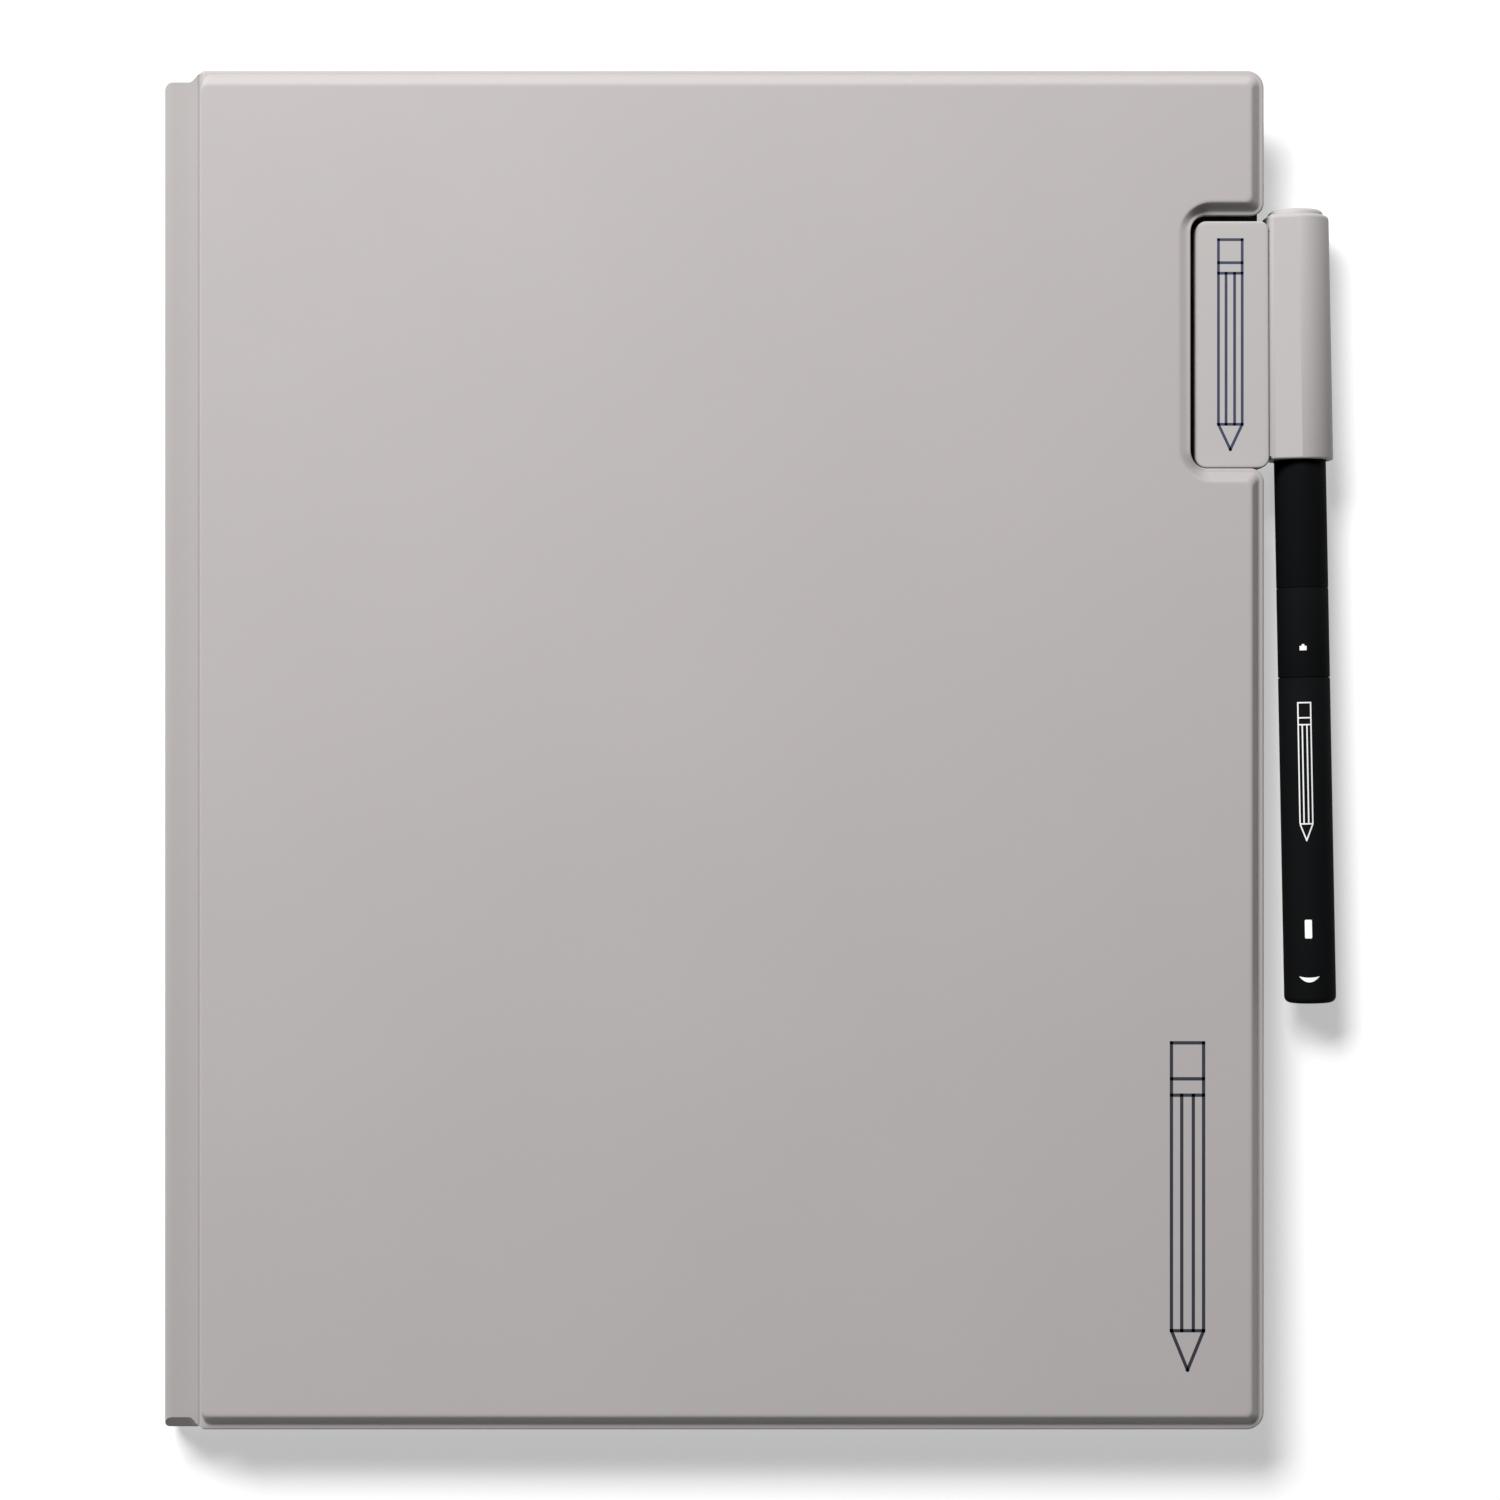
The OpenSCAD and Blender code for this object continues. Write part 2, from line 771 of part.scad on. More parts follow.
module mark_pocket() {
    on_marked_side() translate([0, mark_v, pen_r - 0.3]) cylinder(h = 1, r = 0.8);
}

module band_mark() {
    color("#f2f2f0")
        intersection() {
            mark_pocket();
            pen_tube(mark_v - 2, mark_v + 2, pen_r + 0.02, 1);
        }
}

thread_len = 9;
thread_r = 3.9;

module pen_thread() {
    color("#2a2c2f") {
        pen_tube(band_v0 - thread_len, band_v0, thread_r, 2.6);
        pen_tube(band_v0, band_v0 + 6, 3.0, 2.6);
    }
}

rear_bore_r = thread_r + 0.1;
rear_bore_len = 14;
window_v = rear_v + 13.7;
window_w = 1.28;
window_len = 3.4;
crescent_v = rear_v + 5.2;
crescent_r = 1.45;

module window_pocket() {
    on_marked_side() translate([-window_w / 2, window_v - window_len / 2, pen_r - 0.5])
        cube([window_w, window_len, 1]);
}

module crescent_pocket() {
    on_marked_side() translate([0, crescent_v, pen_r - 0.6])
        difference() {
            cylinder(h = 1, r = crescent_r);
            translate([0, 0.95, -1]) cylinder(h = 3, r = crescent_r + 0.1);
        }
}

module pen_rear_barrel() {
    color("#141516")
        difference() {
            along_pen(rear_v)
                difference() {
                    rotate_extrude()
                        union() {
                            translate([0, end_round]) square([pen_r, band_v0 - rear_v - end_round]);
                            square([pen_r - end_round, end_round + eps]);
                            translate([pen_r - end_round, end_round]) intersection() {
                                circle(r = end_round);
                                translate([0, -end_round]) square(end_round + eps);
                            }
                        }
                    translate([0, 0, band_v0 - rear_v - rear_bore_len])
                        cylinder(h = rear_bore_len + 1, r = rear_bore_r);
                }
            window_pocket();
            crescent_pocket();
        }
}

module rear_window() {
    color("#f2f2f0")
        intersection() {
            window_pocket();
            pen_tube(window_v - 3, window_v + 3, pen_r, 1);
        }
}

module rear_crescent() {
    color("#f2f2f0")
        intersection() {
            crescent_pocket();
            pen_tube(crescent_v - 3, crescent_v + 3, pen_r, 1);
        }
}

back_skin();
back_board();
back_lining();
mounting_tape();
holder_strap();
pen_sleeve();
sleeve_end_cap();
rear_housing();
top_plate();
housing_screws();
shield_sheet();
sensor_board();
sensor_ribbon();
main_board();
board_chips();
radio_module();
battery_cell();
battery_tape();
usb_socket();
button_switch();
status_light();
light_pipe();
dock_plate();
pad_clip();
slab_spacers();
record_button();
pad_card();
pad_sheets();
pad_binding();
spine_skin();
spine_board();
spine_lining();
crease_skin();
lower_fold_skin();
front_skin();
front_board();
front_lining();
document_pocket();
tab_shell();
tab_base();
tab_magnets();
tab_hinge_web();
pen_front_barrel();
pen_nose();
ink_refill();
refill_socket();
sensing_coil();
pen_board();
pen_mid_band();
pen_thread();
band_mark();
pen_rear_barrel();
rear_window();
rear_crescent();
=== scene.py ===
"""A closed grey folio for writing on paper, with a tab, a pen sleeve and a pen on its open edge.

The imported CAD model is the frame. The skins, folds, sleeve, tab, pen, pad and linings are built here
in more detail, and every other CAD node gets its finish. Metres, in the CAD frame: +X is the open
edge, +Y the top of the page, +Z up out of the front cover.
"""

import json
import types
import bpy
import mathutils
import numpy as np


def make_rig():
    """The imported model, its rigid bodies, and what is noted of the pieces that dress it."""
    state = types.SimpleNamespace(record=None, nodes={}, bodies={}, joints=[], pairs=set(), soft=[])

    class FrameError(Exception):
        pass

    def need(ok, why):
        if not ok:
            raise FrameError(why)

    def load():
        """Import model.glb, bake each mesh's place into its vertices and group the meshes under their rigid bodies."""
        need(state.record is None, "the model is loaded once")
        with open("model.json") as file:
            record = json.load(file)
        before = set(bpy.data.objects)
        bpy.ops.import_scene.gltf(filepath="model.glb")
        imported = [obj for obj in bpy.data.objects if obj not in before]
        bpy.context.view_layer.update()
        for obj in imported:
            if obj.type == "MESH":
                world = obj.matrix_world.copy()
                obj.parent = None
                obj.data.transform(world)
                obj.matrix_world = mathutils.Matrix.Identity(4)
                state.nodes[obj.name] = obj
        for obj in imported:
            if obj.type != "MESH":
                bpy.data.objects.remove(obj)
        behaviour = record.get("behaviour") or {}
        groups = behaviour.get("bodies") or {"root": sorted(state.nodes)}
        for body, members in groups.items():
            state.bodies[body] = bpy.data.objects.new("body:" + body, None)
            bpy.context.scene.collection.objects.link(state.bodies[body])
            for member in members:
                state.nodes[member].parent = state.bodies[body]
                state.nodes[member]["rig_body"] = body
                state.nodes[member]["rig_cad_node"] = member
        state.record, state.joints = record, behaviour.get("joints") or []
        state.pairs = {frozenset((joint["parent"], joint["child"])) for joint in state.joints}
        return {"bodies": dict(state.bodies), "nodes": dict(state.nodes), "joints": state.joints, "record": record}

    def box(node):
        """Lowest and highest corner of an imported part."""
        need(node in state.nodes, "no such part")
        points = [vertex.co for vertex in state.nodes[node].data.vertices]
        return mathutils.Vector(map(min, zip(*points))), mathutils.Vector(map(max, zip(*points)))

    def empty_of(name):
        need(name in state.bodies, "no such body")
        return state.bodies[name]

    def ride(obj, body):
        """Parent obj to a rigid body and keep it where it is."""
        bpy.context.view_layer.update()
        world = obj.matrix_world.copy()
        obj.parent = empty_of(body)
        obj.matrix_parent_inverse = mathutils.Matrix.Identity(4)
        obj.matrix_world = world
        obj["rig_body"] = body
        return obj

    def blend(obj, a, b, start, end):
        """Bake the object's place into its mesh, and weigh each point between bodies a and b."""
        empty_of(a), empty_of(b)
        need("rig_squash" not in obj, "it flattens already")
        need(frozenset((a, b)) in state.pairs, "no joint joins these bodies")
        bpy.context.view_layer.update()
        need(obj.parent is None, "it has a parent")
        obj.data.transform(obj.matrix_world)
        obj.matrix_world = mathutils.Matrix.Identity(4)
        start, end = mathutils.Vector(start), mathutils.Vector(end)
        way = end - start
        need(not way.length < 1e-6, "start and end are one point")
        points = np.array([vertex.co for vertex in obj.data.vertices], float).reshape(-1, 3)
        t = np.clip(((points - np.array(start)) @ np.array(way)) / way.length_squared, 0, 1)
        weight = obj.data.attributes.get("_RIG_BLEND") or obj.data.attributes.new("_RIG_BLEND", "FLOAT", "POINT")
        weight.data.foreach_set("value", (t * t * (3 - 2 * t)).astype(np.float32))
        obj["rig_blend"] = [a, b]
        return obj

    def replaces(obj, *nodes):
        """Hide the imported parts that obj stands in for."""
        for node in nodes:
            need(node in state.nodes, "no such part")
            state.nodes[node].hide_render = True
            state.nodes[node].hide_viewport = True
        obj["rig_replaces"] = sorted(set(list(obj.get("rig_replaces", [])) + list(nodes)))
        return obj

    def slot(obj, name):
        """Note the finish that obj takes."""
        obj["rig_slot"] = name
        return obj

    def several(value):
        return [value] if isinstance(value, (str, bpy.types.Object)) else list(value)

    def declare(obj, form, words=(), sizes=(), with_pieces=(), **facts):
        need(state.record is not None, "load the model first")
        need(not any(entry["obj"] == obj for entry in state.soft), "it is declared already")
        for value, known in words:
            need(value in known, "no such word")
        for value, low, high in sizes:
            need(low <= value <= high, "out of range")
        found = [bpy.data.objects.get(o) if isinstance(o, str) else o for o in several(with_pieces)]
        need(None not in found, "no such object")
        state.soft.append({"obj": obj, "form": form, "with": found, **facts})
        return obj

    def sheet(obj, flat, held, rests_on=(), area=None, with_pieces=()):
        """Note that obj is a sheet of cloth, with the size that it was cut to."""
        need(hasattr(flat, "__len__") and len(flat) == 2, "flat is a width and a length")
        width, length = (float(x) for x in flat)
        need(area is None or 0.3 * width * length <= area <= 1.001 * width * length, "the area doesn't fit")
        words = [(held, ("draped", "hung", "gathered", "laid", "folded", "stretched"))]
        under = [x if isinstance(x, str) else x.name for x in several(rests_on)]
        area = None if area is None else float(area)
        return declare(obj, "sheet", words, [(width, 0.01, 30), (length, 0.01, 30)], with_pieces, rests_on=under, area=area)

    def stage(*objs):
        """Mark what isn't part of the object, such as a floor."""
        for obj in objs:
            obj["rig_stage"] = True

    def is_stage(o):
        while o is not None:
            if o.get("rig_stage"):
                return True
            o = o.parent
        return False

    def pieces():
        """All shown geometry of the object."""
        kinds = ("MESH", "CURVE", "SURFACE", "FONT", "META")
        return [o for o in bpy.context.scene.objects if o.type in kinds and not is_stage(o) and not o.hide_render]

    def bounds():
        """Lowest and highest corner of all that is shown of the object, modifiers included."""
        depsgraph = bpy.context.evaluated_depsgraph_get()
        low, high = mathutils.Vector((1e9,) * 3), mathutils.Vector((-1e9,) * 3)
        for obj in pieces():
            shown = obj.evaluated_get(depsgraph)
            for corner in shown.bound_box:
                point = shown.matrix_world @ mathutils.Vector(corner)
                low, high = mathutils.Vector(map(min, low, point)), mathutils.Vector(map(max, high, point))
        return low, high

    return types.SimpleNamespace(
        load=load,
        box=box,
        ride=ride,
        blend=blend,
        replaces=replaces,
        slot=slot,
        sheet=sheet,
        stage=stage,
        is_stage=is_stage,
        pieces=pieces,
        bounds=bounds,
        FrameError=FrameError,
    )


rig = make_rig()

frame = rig.load()
cad_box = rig.bounds()

import json
import math
import random

import bmesh
import bpy
from mathutils import Matrix, Vector

MM = 0.001
NODES = frame["nodes"]
JOINTS = {j["name"]: j for j in frame["joints"]}
rng = random.Random(7)


# ---- materials

class Finish:
    """A procedural material, built up by small named steps."""

    def __init__(self, name, color, roughness, **values):
        self.material = bpy.data.materials.new(name)
        self.material.use_nodes = True
        tree = self.material.node_tree
        self.nodes, self.links = tree.nodes, tree.links
        self.shader = self.nodes["Principled BSDF"]
        self.coords = self.nodes.new("ShaderNodeTexCoord")
        self.color = (*color, 1.0)
        self.shader.inputs["Base Color"].default_value = self.color
        self.shader.inputs["Roughness"].default_value = roughness
        for key, value in values.items():
            self.shader.inputs[key.replace("_", " ")].default_value = value
        self.height = None

    def noise(self, size, detail=3.0, stretch=(1, 1, 1), seed=0.0):
        """Noise whose grains are about size metres across."""
        mapping = self.nodes.new("ShaderNodeMapping")
        mapping.inputs["Scale"].default_value = [s / size for s in stretch]
        mapping.inputs["Location"].default_value = (seed, seed, seed)
        self.links.new(self.coords.outputs["Object"], mapping.inputs["Vector"])
        noise = self.nodes.new("ShaderNodeTexNoise")
        noise.inputs["Scale"].default_value = 1.0
        noise.inputs["Detail"].default_value = detail
        self.links.new(mapping.outputs["Vector"], noise.inputs["Vector"])
        return noise.outputs["Fac"]

    def stripes(self, pitch, axis, phase=0.0):
        """A 0 to 1 wave along one axis, one cycle every pitch metres."""
        split = self.nodes.new("ShaderNodeSeparateXYZ")
        self.links.new(self.coords.outputs["Object"], split.inputs["Vector"])
        turn = self.math("MULTIPLY_ADD", split.outputs[axis], 2 * math.pi / pitch, phase)
        wave = self.math("SINE", turn)
        return self.math("MULTIPLY_ADD", wave, 0.5, 0.5)

    def math(self, operation, a, b=0.0, c=0.0):
        """One maths node; each of its inputs is a number or another node's output."""
        node = self.nodes.new("ShaderNodeMath")
        node.operation = operation
        for socket, value in zip(node.inputs, (a, b, c)):
            if isinstance(value, (int, float)):
                socket.default_value = value
            else:
                self.links.new(value, socket)
        return node.outputs[0]

    def ramp(self, value, low, high, low_color, high_color):
        """A colour that goes from one to the other as value goes from low to high."""
        ramp = self.nodes.new("ShaderNodeValToRGB")
        ramp.color_ramp.elements[0].position = low
        ramp.color_ramp.elements[1].position = high
        ramp.color_ramp.elements[0].color = (*low_color, 1.0)
        ramp.color_ramp.elements[1].color = (*high_color, 1.0)
        self.links.new(value, ramp.inputs["Fac"])
        return ramp.outputs["Color"]

    def tint(self, value, amount, low=0.3, high=0.7):
        """Colour that varies by a share of itself with value."""
        dark = [c * (1 - amount) for c in self.color[:3]]
        light = [min(1.0, c * (1 + amount)) for c in self.color[:3]]
        self.links.new(self.ramp(value, low, high, dark, light), self.shader.inputs["Base Color"])
        return self

    def rough(self, value, low, high):
        """Roughness from low to high as value goes from 0 to 1."""
        spread = self.math("MULTIPLY_ADD", value, high - low, low)
        self.links.new(spread, self.shader.inputs["Roughness"])
        return self

    def bump(self, value, depth, strength=1.0):
        """Adds a relief of depth metres to what the material already has."""
        bump = self.nodes.new("ShaderNodeBump")
        bump.inputs["Strength"].default_value = strength
        bump.inputs["Distance"].default_value = depth
        self.links.new(value, bump.inputs["Height"])
        if self.height is not None:
            self.links.new(self.height, bump.inputs["Normal"])
        self.height = bump.outputs["Normal"]
        self.links.new(self.height, self.shader.inputs["Normal"])
        return self

    def clear_from_behind(self):
        """Lets the back face through, so that a view from under the floor shows the object."""
        side = self.nodes.new("ShaderNodeNewGeometry")
        clear = self.nodes.new("ShaderNodeBsdfTransparent")
        mix = self.nodes.new("ShaderNodeMixShader")
        self.links.new(side.outputs["Backfacing"], mix.inputs[0])
        self.links.new(self.shader.outputs[0], mix.inputs[1])
        self.links.new(clear.outputs[0], mix.inputs[2])
        self.links.new(mix.outputs[0], self.nodes["Material Output"].inputs["Surface"])


def soft_touch(name, color, seed):
    """Moulded skin with a powdery feel: very fine grain, slow clouding, a faint sheen."""
    f = Finish(name, color, 0.62, Specular_IOR_Level=0.28, Sheen_Weight=0.06, Sheen_Roughness=0.5)
    f.tint(f.noise(0.045, 2.0, seed=seed), 0.012)
    f.rough(f.noise(0.006, 2.0, seed=seed + 3), 0.56, 0.68)
    f.bump(f.noise(0.00028, 4.0, seed=seed + 5), 0.00001, 0.55)
    f.bump(f.noise(0.0016, 2.0, seed=seed + 8), 0.000008, 0.35)
    return f.material


def moulded(name, color, roughness, grain=0.0003, depth=0.000012, **values):
    """Moulded plastic: grains about grain metres across and depth metres deep."""
    f = Finish(name, color, roughness, **values)
    f.tint(f.noise(0.02, 2.0), 0.05)
    f.rough(f.noise(0.003, 3.0), max(0.05, roughness - 0.07), min(1.0, roughness + 0.07))
    f.bump(f.noise(grain, 3.0), depth, 0.6)
    return f.material


def brushed(name, color, roughness, along=0):
    """Metal with fine lines along one axis."""
    stretch = [1.0, 1.0, 1.0]
    stretch[along] = 0.02
    f = Finish(name, color, roughness, Metallic=1.0)
    f.tint(f.noise(0.00025, 4.0, stretch), 0.08)
    f.rough(f.noise(0.0004, 3.0, stretch), roughness - 0.08, roughness + 0.12)
    f.bump(f.noise(0.00018, 3.0, stretch), 0.000005, 0.5)
    return f.material


def woven(name, color, pitch):
    """Plain weave: threads that rise and sink in turn along both axes."""
    f = Finish(name, color, 0.86, Specular_IOR_Level=0.2, Sheen_Weight=0.25, Sheen_Roughness=0.4)
    across = f.stripes(pitch, "X")
    along = f.stripes(pitch, "Y")
    weave = f.math("ABSOLUTE", f.math("SUBTRACT", across, along))
    f.tint(weave, 0.28, 0.0, 1.0)
    f.bump(weave, 0.00008, 0.7)
    f.bump(f.noise(0.0002, 3.0), 0.00003, 0.4)
    return f.material


def paper(name, color, ruled=0.0):
    """Uncoated sheet with fine fibre; ruled gives the spacing of faint lines across it."""
    f = Finish(name, color, 0.88, Specular_IOR_Level=0.2)
    f.bump(f.noise(0.0004, 5.0, (1, 0.5, 1)), 0.000012, 0.5)
    if not ruled:
        f.tint(f.noise(0.00012, 2.0, (0.02, 0.02, 1)), 0.05)
        return f.material
    line = f.math("GREATER_THAN", f.stripes(ruled, "Y"), 0.9985)
    blue_grey = [c * s for c, s in zip(color, (0.62, 0.68, 0.76))]
    f.links.new(f.ramp(line, 0.4, 0.6, color, blue_grey), f.shader.inputs["Base Color"])
    return f.material


def greyboard(name, color):
    """Pressed board with flecks of fibre."""
    f = Finish(name, color, 0.93, Specular_IOR_Level=0.15)
    f.tint(f.noise(0.0012, 6.0), 0.16)
    f.bump(f.noise(0.0005, 5.0), 0.00004, 0.6)
    return f.material


def lacquered_board(name, color):
    """Circuit board: lacquer over a faint grid of tracks."""
    f = Finish(name, color, 0.3, Coat_Weight=0.4)
    tracks = f.math("GREATER_THAN", f.stripes(0.0024, "X"), 0.86)
    bright = [min(1.0, c * 1.9 + 0.01) for c in color]
    f.links.new(f.ramp(tracks, 0.4, 0.6, color, bright), f.shader.inputs["Base Color"])
    f.bump(tracks, 0.00002, 0.5)
    return f.material


BASE = {m["slot"]: m["base_color"][:3] for m in frame["record"]["materials"]}
PAPER_COLOR = [c * 0.8 for c in BASE["paper"]]
LOOKS = {
    "soft_skin": soft_touch("soft_touch_grey", (0.384, 0.361, 0.357), 1.0),
    "tab_skin": soft_touch("soft_touch_light_grey", (0.415, 0.397, 0.39), 11.0),
    "fold_skin": soft_touch("soft_touch_fold", (0.365, 0.345, 0.338), 21.0),
    "sleeve": soft_touch("soft_touch_sleeve", (0.418, 0.397, 0.392), 41.0),
    "strip": soft_touch("soft_touch_strip", (0.344, 0.324, 0.319), 31.0),
    "lining": woven("lining_weave", BASE["lining"], 0.0006),
    "board": greyboard("grey_board", BASE["board"]),
    "tape": moulded("foam_tape", BASE["tape"], 0.95, 0.0006, 0.00005),
    "dark_plastic": moulded("dark_moulded", BASE["dark_plastic"], 0.55),
    "top_plastic": moulded("writing_bed", BASE["top_plastic"], 0.62, 0.00045, 0.00002),
    "steel": brushed("brushed_steel", BASE["steel"], 0.34),
    "foil": brushed("pressed_foil", BASE["foil"], 0.4, 1),
    "circuit": lacquered_board("circuit_board", BASE["circuit"]),
    "chip": moulded("chip_black", BASE["chip"], 0.5),
    "ribbon": moulded("ribbon_amber", BASE["ribbon"], 0.35),
    "yellow_tape": moulded("tape_yellow", BASE["yellow_tape"], 0.5),
    "clear": moulded("light_pipe_clear", (0.92, 0.95, 0.97), 0.08, Transmission_Weight=0.85, IOR=1.49),
    "light_body": moulded("diode_body", BASE["light_body"], 0.3),
    "button": moulded("button_satin", BASE["button"], 0.38),
    "card": greyboard("pad_card_board", BASE["card"]),
    "paper": paper("paper_edges", PAPER_COLOR),
    "binding": woven("binding_cloth", BASE["binding"], 0.0005),
    "magnet": brushed("plated_magnet", BASE["magnet"], 0.28),
    "pen_black": moulded("pen_black", (0.0042, 0.0046, 0.005), 0.8, 0.00022, 0.000008,
                         Specular_IOR_Level=0.045),
    "pen_nose": moulded("pen_nose_black", (0.007, 0.007, 0.0078), 0.42, 0.0002, 0.000005),
    "refill": brushed("refill_steel", BASE["refill"], 0.25, 1),
    "socket": moulded("refill_socket", BASE["socket"], 0.5),
    "coil": brushed("copper_winding", BASE["coil"], 0.35, 0),
    "white_inlay": moulded("white_inlay", (0.86, 0.86, 0.85), 0.35),
}
RULED_PAPER = paper("ruled_paper", PAPER_COLOR, 0.007)
PRINT_DARK = moulded("print_dark", (0.028, 0.03, 0.04), 0.5)
PRINT_NAVY = moulded("print_navy", (0.03, 0.04, 0.09), 0.5)
PRINT_WHITE = moulded("print_white", (0.8, 0.8, 0.8), 0.5)
THREAD = woven("stitch_thread", (0.09, 0.092, 0.1), 0.00025)


# ---- mesh helpers

# A face with more points or a larger area than these keeps its own flat shading
MOST_SMOOTH_POINTS = 16
FLAT_AREA = 150 * MM * MM
# Steps round each corner of an outline, and the least radius a convex corner shrinks to
ARC_STEPS = 10
LEAST_R = 1.1 * MM


def between(a, b, t):
    """a at t = 0, b at t = 1, and evenly between."""
    return a + (b - a) * t


def turns(steps):
    """Angles that go once round in equal steps."""
    return [2 * math.pi * k / steps for k in range(steps)]


def quarter(steps):
    """Angles from 0 to a right angle in equal steps, both ends included."""
    return [math.pi / 2 * k / steps for k in range(steps + 1)]


def finish_mesh(mesh, sharp_angle):
    """Outward normals, smooth shading, and sharp edges above an angle in degrees.
    Large flat faces stay flat, so that their shading doesn't run out across them."""
    bm = bmesh.new()
    bm.from_mesh(mesh)
    bmesh.ops.remove_doubles(bm, verts=bm.verts, dist=1e-7)
    bmesh.ops.recalc_face_normals(bm, faces=bm.faces)
    for face in bm.faces:
        face.smooth = len(face.verts) <= MOST_SMOOTH_POINTS and face.calc_area() < FLAT_AREA
    for edge in bm.edges:
        edge.smooth = not (edge.is_manifold and edge.calc_face_angle(0.0) > math.radians(sharp_angle))
    bm.to_mesh(mesh)
    bm.free()
    mesh.update()


def add_object(name, data):
    """A new object in the scene."""
    obj = bpy.data.objects.new(name, data)
    bpy.context.scene.collection.objects.link(obj)
    return obj


def piece(name, skin, body, slot, replaces=(), sharp_angle=50, look=None, place=None):
    """A new mesh object that rides on a body. Its skin is a pair of vertices and faces, and its look
    is its slot's own if none is given."""
    mesh = bpy.data.meshes.new(name)
    mesh.from_pydata([tuple(v) for v in skin[0]], [], skin[1])
    if place is not None:
        mesh.transform(place)
    finish_mesh(mesh, sharp_angle)
    obj = add_object(name, mesh)
    mesh.materials.append(look or LOOKS[slot])
    if body is not None:
        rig.ride(obj, body)
    if replaces:
        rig.replaces(obj, *replaces)
    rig.slot(obj, slot)
    return obj


def chain(rings, closed_start=True, closed_end=True):
    """Vertices and faces of a skin through rings of equal point count."""
    count = len(rings[0])
    verts = [p for ring in rings for p in ring]
    faces = []
    for k in range(len(rings) - 1):
        for j in range(count):
            n = (j + 1) % count
            faces.append((k * count + j, (k + 1) * count + j, (k + 1) * count + n, k * count + n))
    if closed_start:
        faces.append(tuple(range(count)))
    if closed_end:
        last = (len(rings) - 1) * count
        faces.append(tuple(last + j for j in reversed(range(count))))
    return verts, faces


def closed_chain(rings):
    """As chain, for rings that come back round to the first one."""
    verts, faces = chain(rings, False, False)
    last, count = len(verts) - len(rings[0]), len(rings[0])
    faces += [(last + j, j, (j + 1) % count, last + (j + 1) % count) for j in range(count)]
    return verts, faces


def add_skin(verts, faces, skin):
    """Adds another skin's vertices and faces to the lists of one already made."""
    more_verts, more_faces = skin
    faces += [tuple(i + len(verts) for i in face) for face in more_faces]
    verts += more_verts


def outline(corners, radii, shares, inset, steps=ARC_STEPS):
    """A rectilinear outline moved inwards and rounded, as a list of 2-D points.
    shares scales the inset of each side, starting with the one after the first corner."""
    n = len(corners)
    pts = [Vector(c) for c in corners]
    moved = []
    for i in range(n):
        before = (pts[i] - pts[i - 1]).normalized()
        after = (pts[(i + 1) % n] - pts[i]).normalized()
        shift = inset * shares[i - 1] * Vector((-before.y, before.x))
        shift += inset * shares[i] * Vector((-after.y, after.x))
        moved.append(pts[i] + shift)
    ring = []
    for i in range(n):
        back = (moved[i - 1] - moved[i]).normalized()
        ahead = (moved[(i + 1) % n] - moved[i]).normalized()
        convex = (-back).cross(ahead) > 0
        r = max(radii[i] - inset, min(radii[i], LEAST_R)) if convex else radii[i] + inset
        centre = moved[i] + r * (back + ahead)
        for a in quarter(steps):
            ring.append(centre - r * (ahead * math.cos(a) + back * math.sin(a)))
    return ring


def at_height(ring, z):
    """The 3-D points of a 2-D outline at a height."""
    return [Vector((p[0], p[1], z)) for p in ring]


def layered(corners, radii, shares, levels, steps=ARC_STEPS):
    """Rings of an outline at a list of levels, each an inset and a height."""
    return [at_height(outline(corners, radii, shares, inset, steps), z) for inset, z in levels]


def rectangle(low, high):
    """The four corners of a box seen from above."""
    return [(low[0], low[1]), (high[0], low[1]), (high[0], high[1]), (low[0], high[1])]


def softened(node, look_slot, width, body, segments=2):
    """A copy of a CAD node with its edges rounded, which stands for it."""
    mesh = bpy.data.meshes.new(node + "_detail")
    bm = bmesh.new()
    bm.from_mesh(NODES[node].data)
    bmesh.ops.remove_doubles(bm, verts=bm.verts, dist=2e-7)
    bmesh.ops.dissolve_limit(bm, angle_limit=math.radians(1.0), verts=bm.verts, edges=bm.edges)
    bm.to_mesh(mesh)
    bm.free()
    obj = add_object(node + "_detail", mesh)
    bevel = obj.modifiers.new("bevel", "BEVEL")
    bevel.width = width
    bevel.segments = segments
    bevel.limit_method = "ANGLE"
    bevel.angle_limit = math.radians(35)
    depsgraph = bpy.context.evaluated_depsgraph_get()
    rounded = bpy.data.meshes.new_from_object(obj.evaluated_get(depsgraph))
    obj.modifiers.clear()
    obj.data = rounded
    rounded.materials.clear()
    rounded.materials.append(LOOKS[look_slot])
    finish_mesh(rounded, 40)
    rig.ride(obj, body)
    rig.replaces(obj, node)
    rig.slot(obj, look_slot)


# ---- covers

front_low, front_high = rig.box("front_skin")
back_low, back_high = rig.box("back_skin")
tab_low, tab_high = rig.box("tab_shell")

CORNER_R = 3.1 * MM
# Beside the crease the corners are tight, with this much more radius at the foot of the slope
SPINE_CORNER_R = 0.35 * MM
FOOT_SWELL = 1.8 * MM
# Height of the step along the notch's inner side, as a share of its height elsewhere
NOTCH_STEP = 0.2
NOTCH_OUT_R = 2.4 * MM
NOTCH_IN_R = 3.2 * MM
RIM_W = 1.0 * MM
SLOPE_W = 1.76 * MM
SLOPE_H = 2.0 * MM
BOARD_INSET = RIM_W + SLOPE_W + 0.6 * MM
SKIN_T = 0.9 * MM

notch_x = tab_low.x - 1.1 * MM
notch_y0 = tab_low.y - 0.06 * MM
notch_y1 = tab_high.y + 0.85 * MM

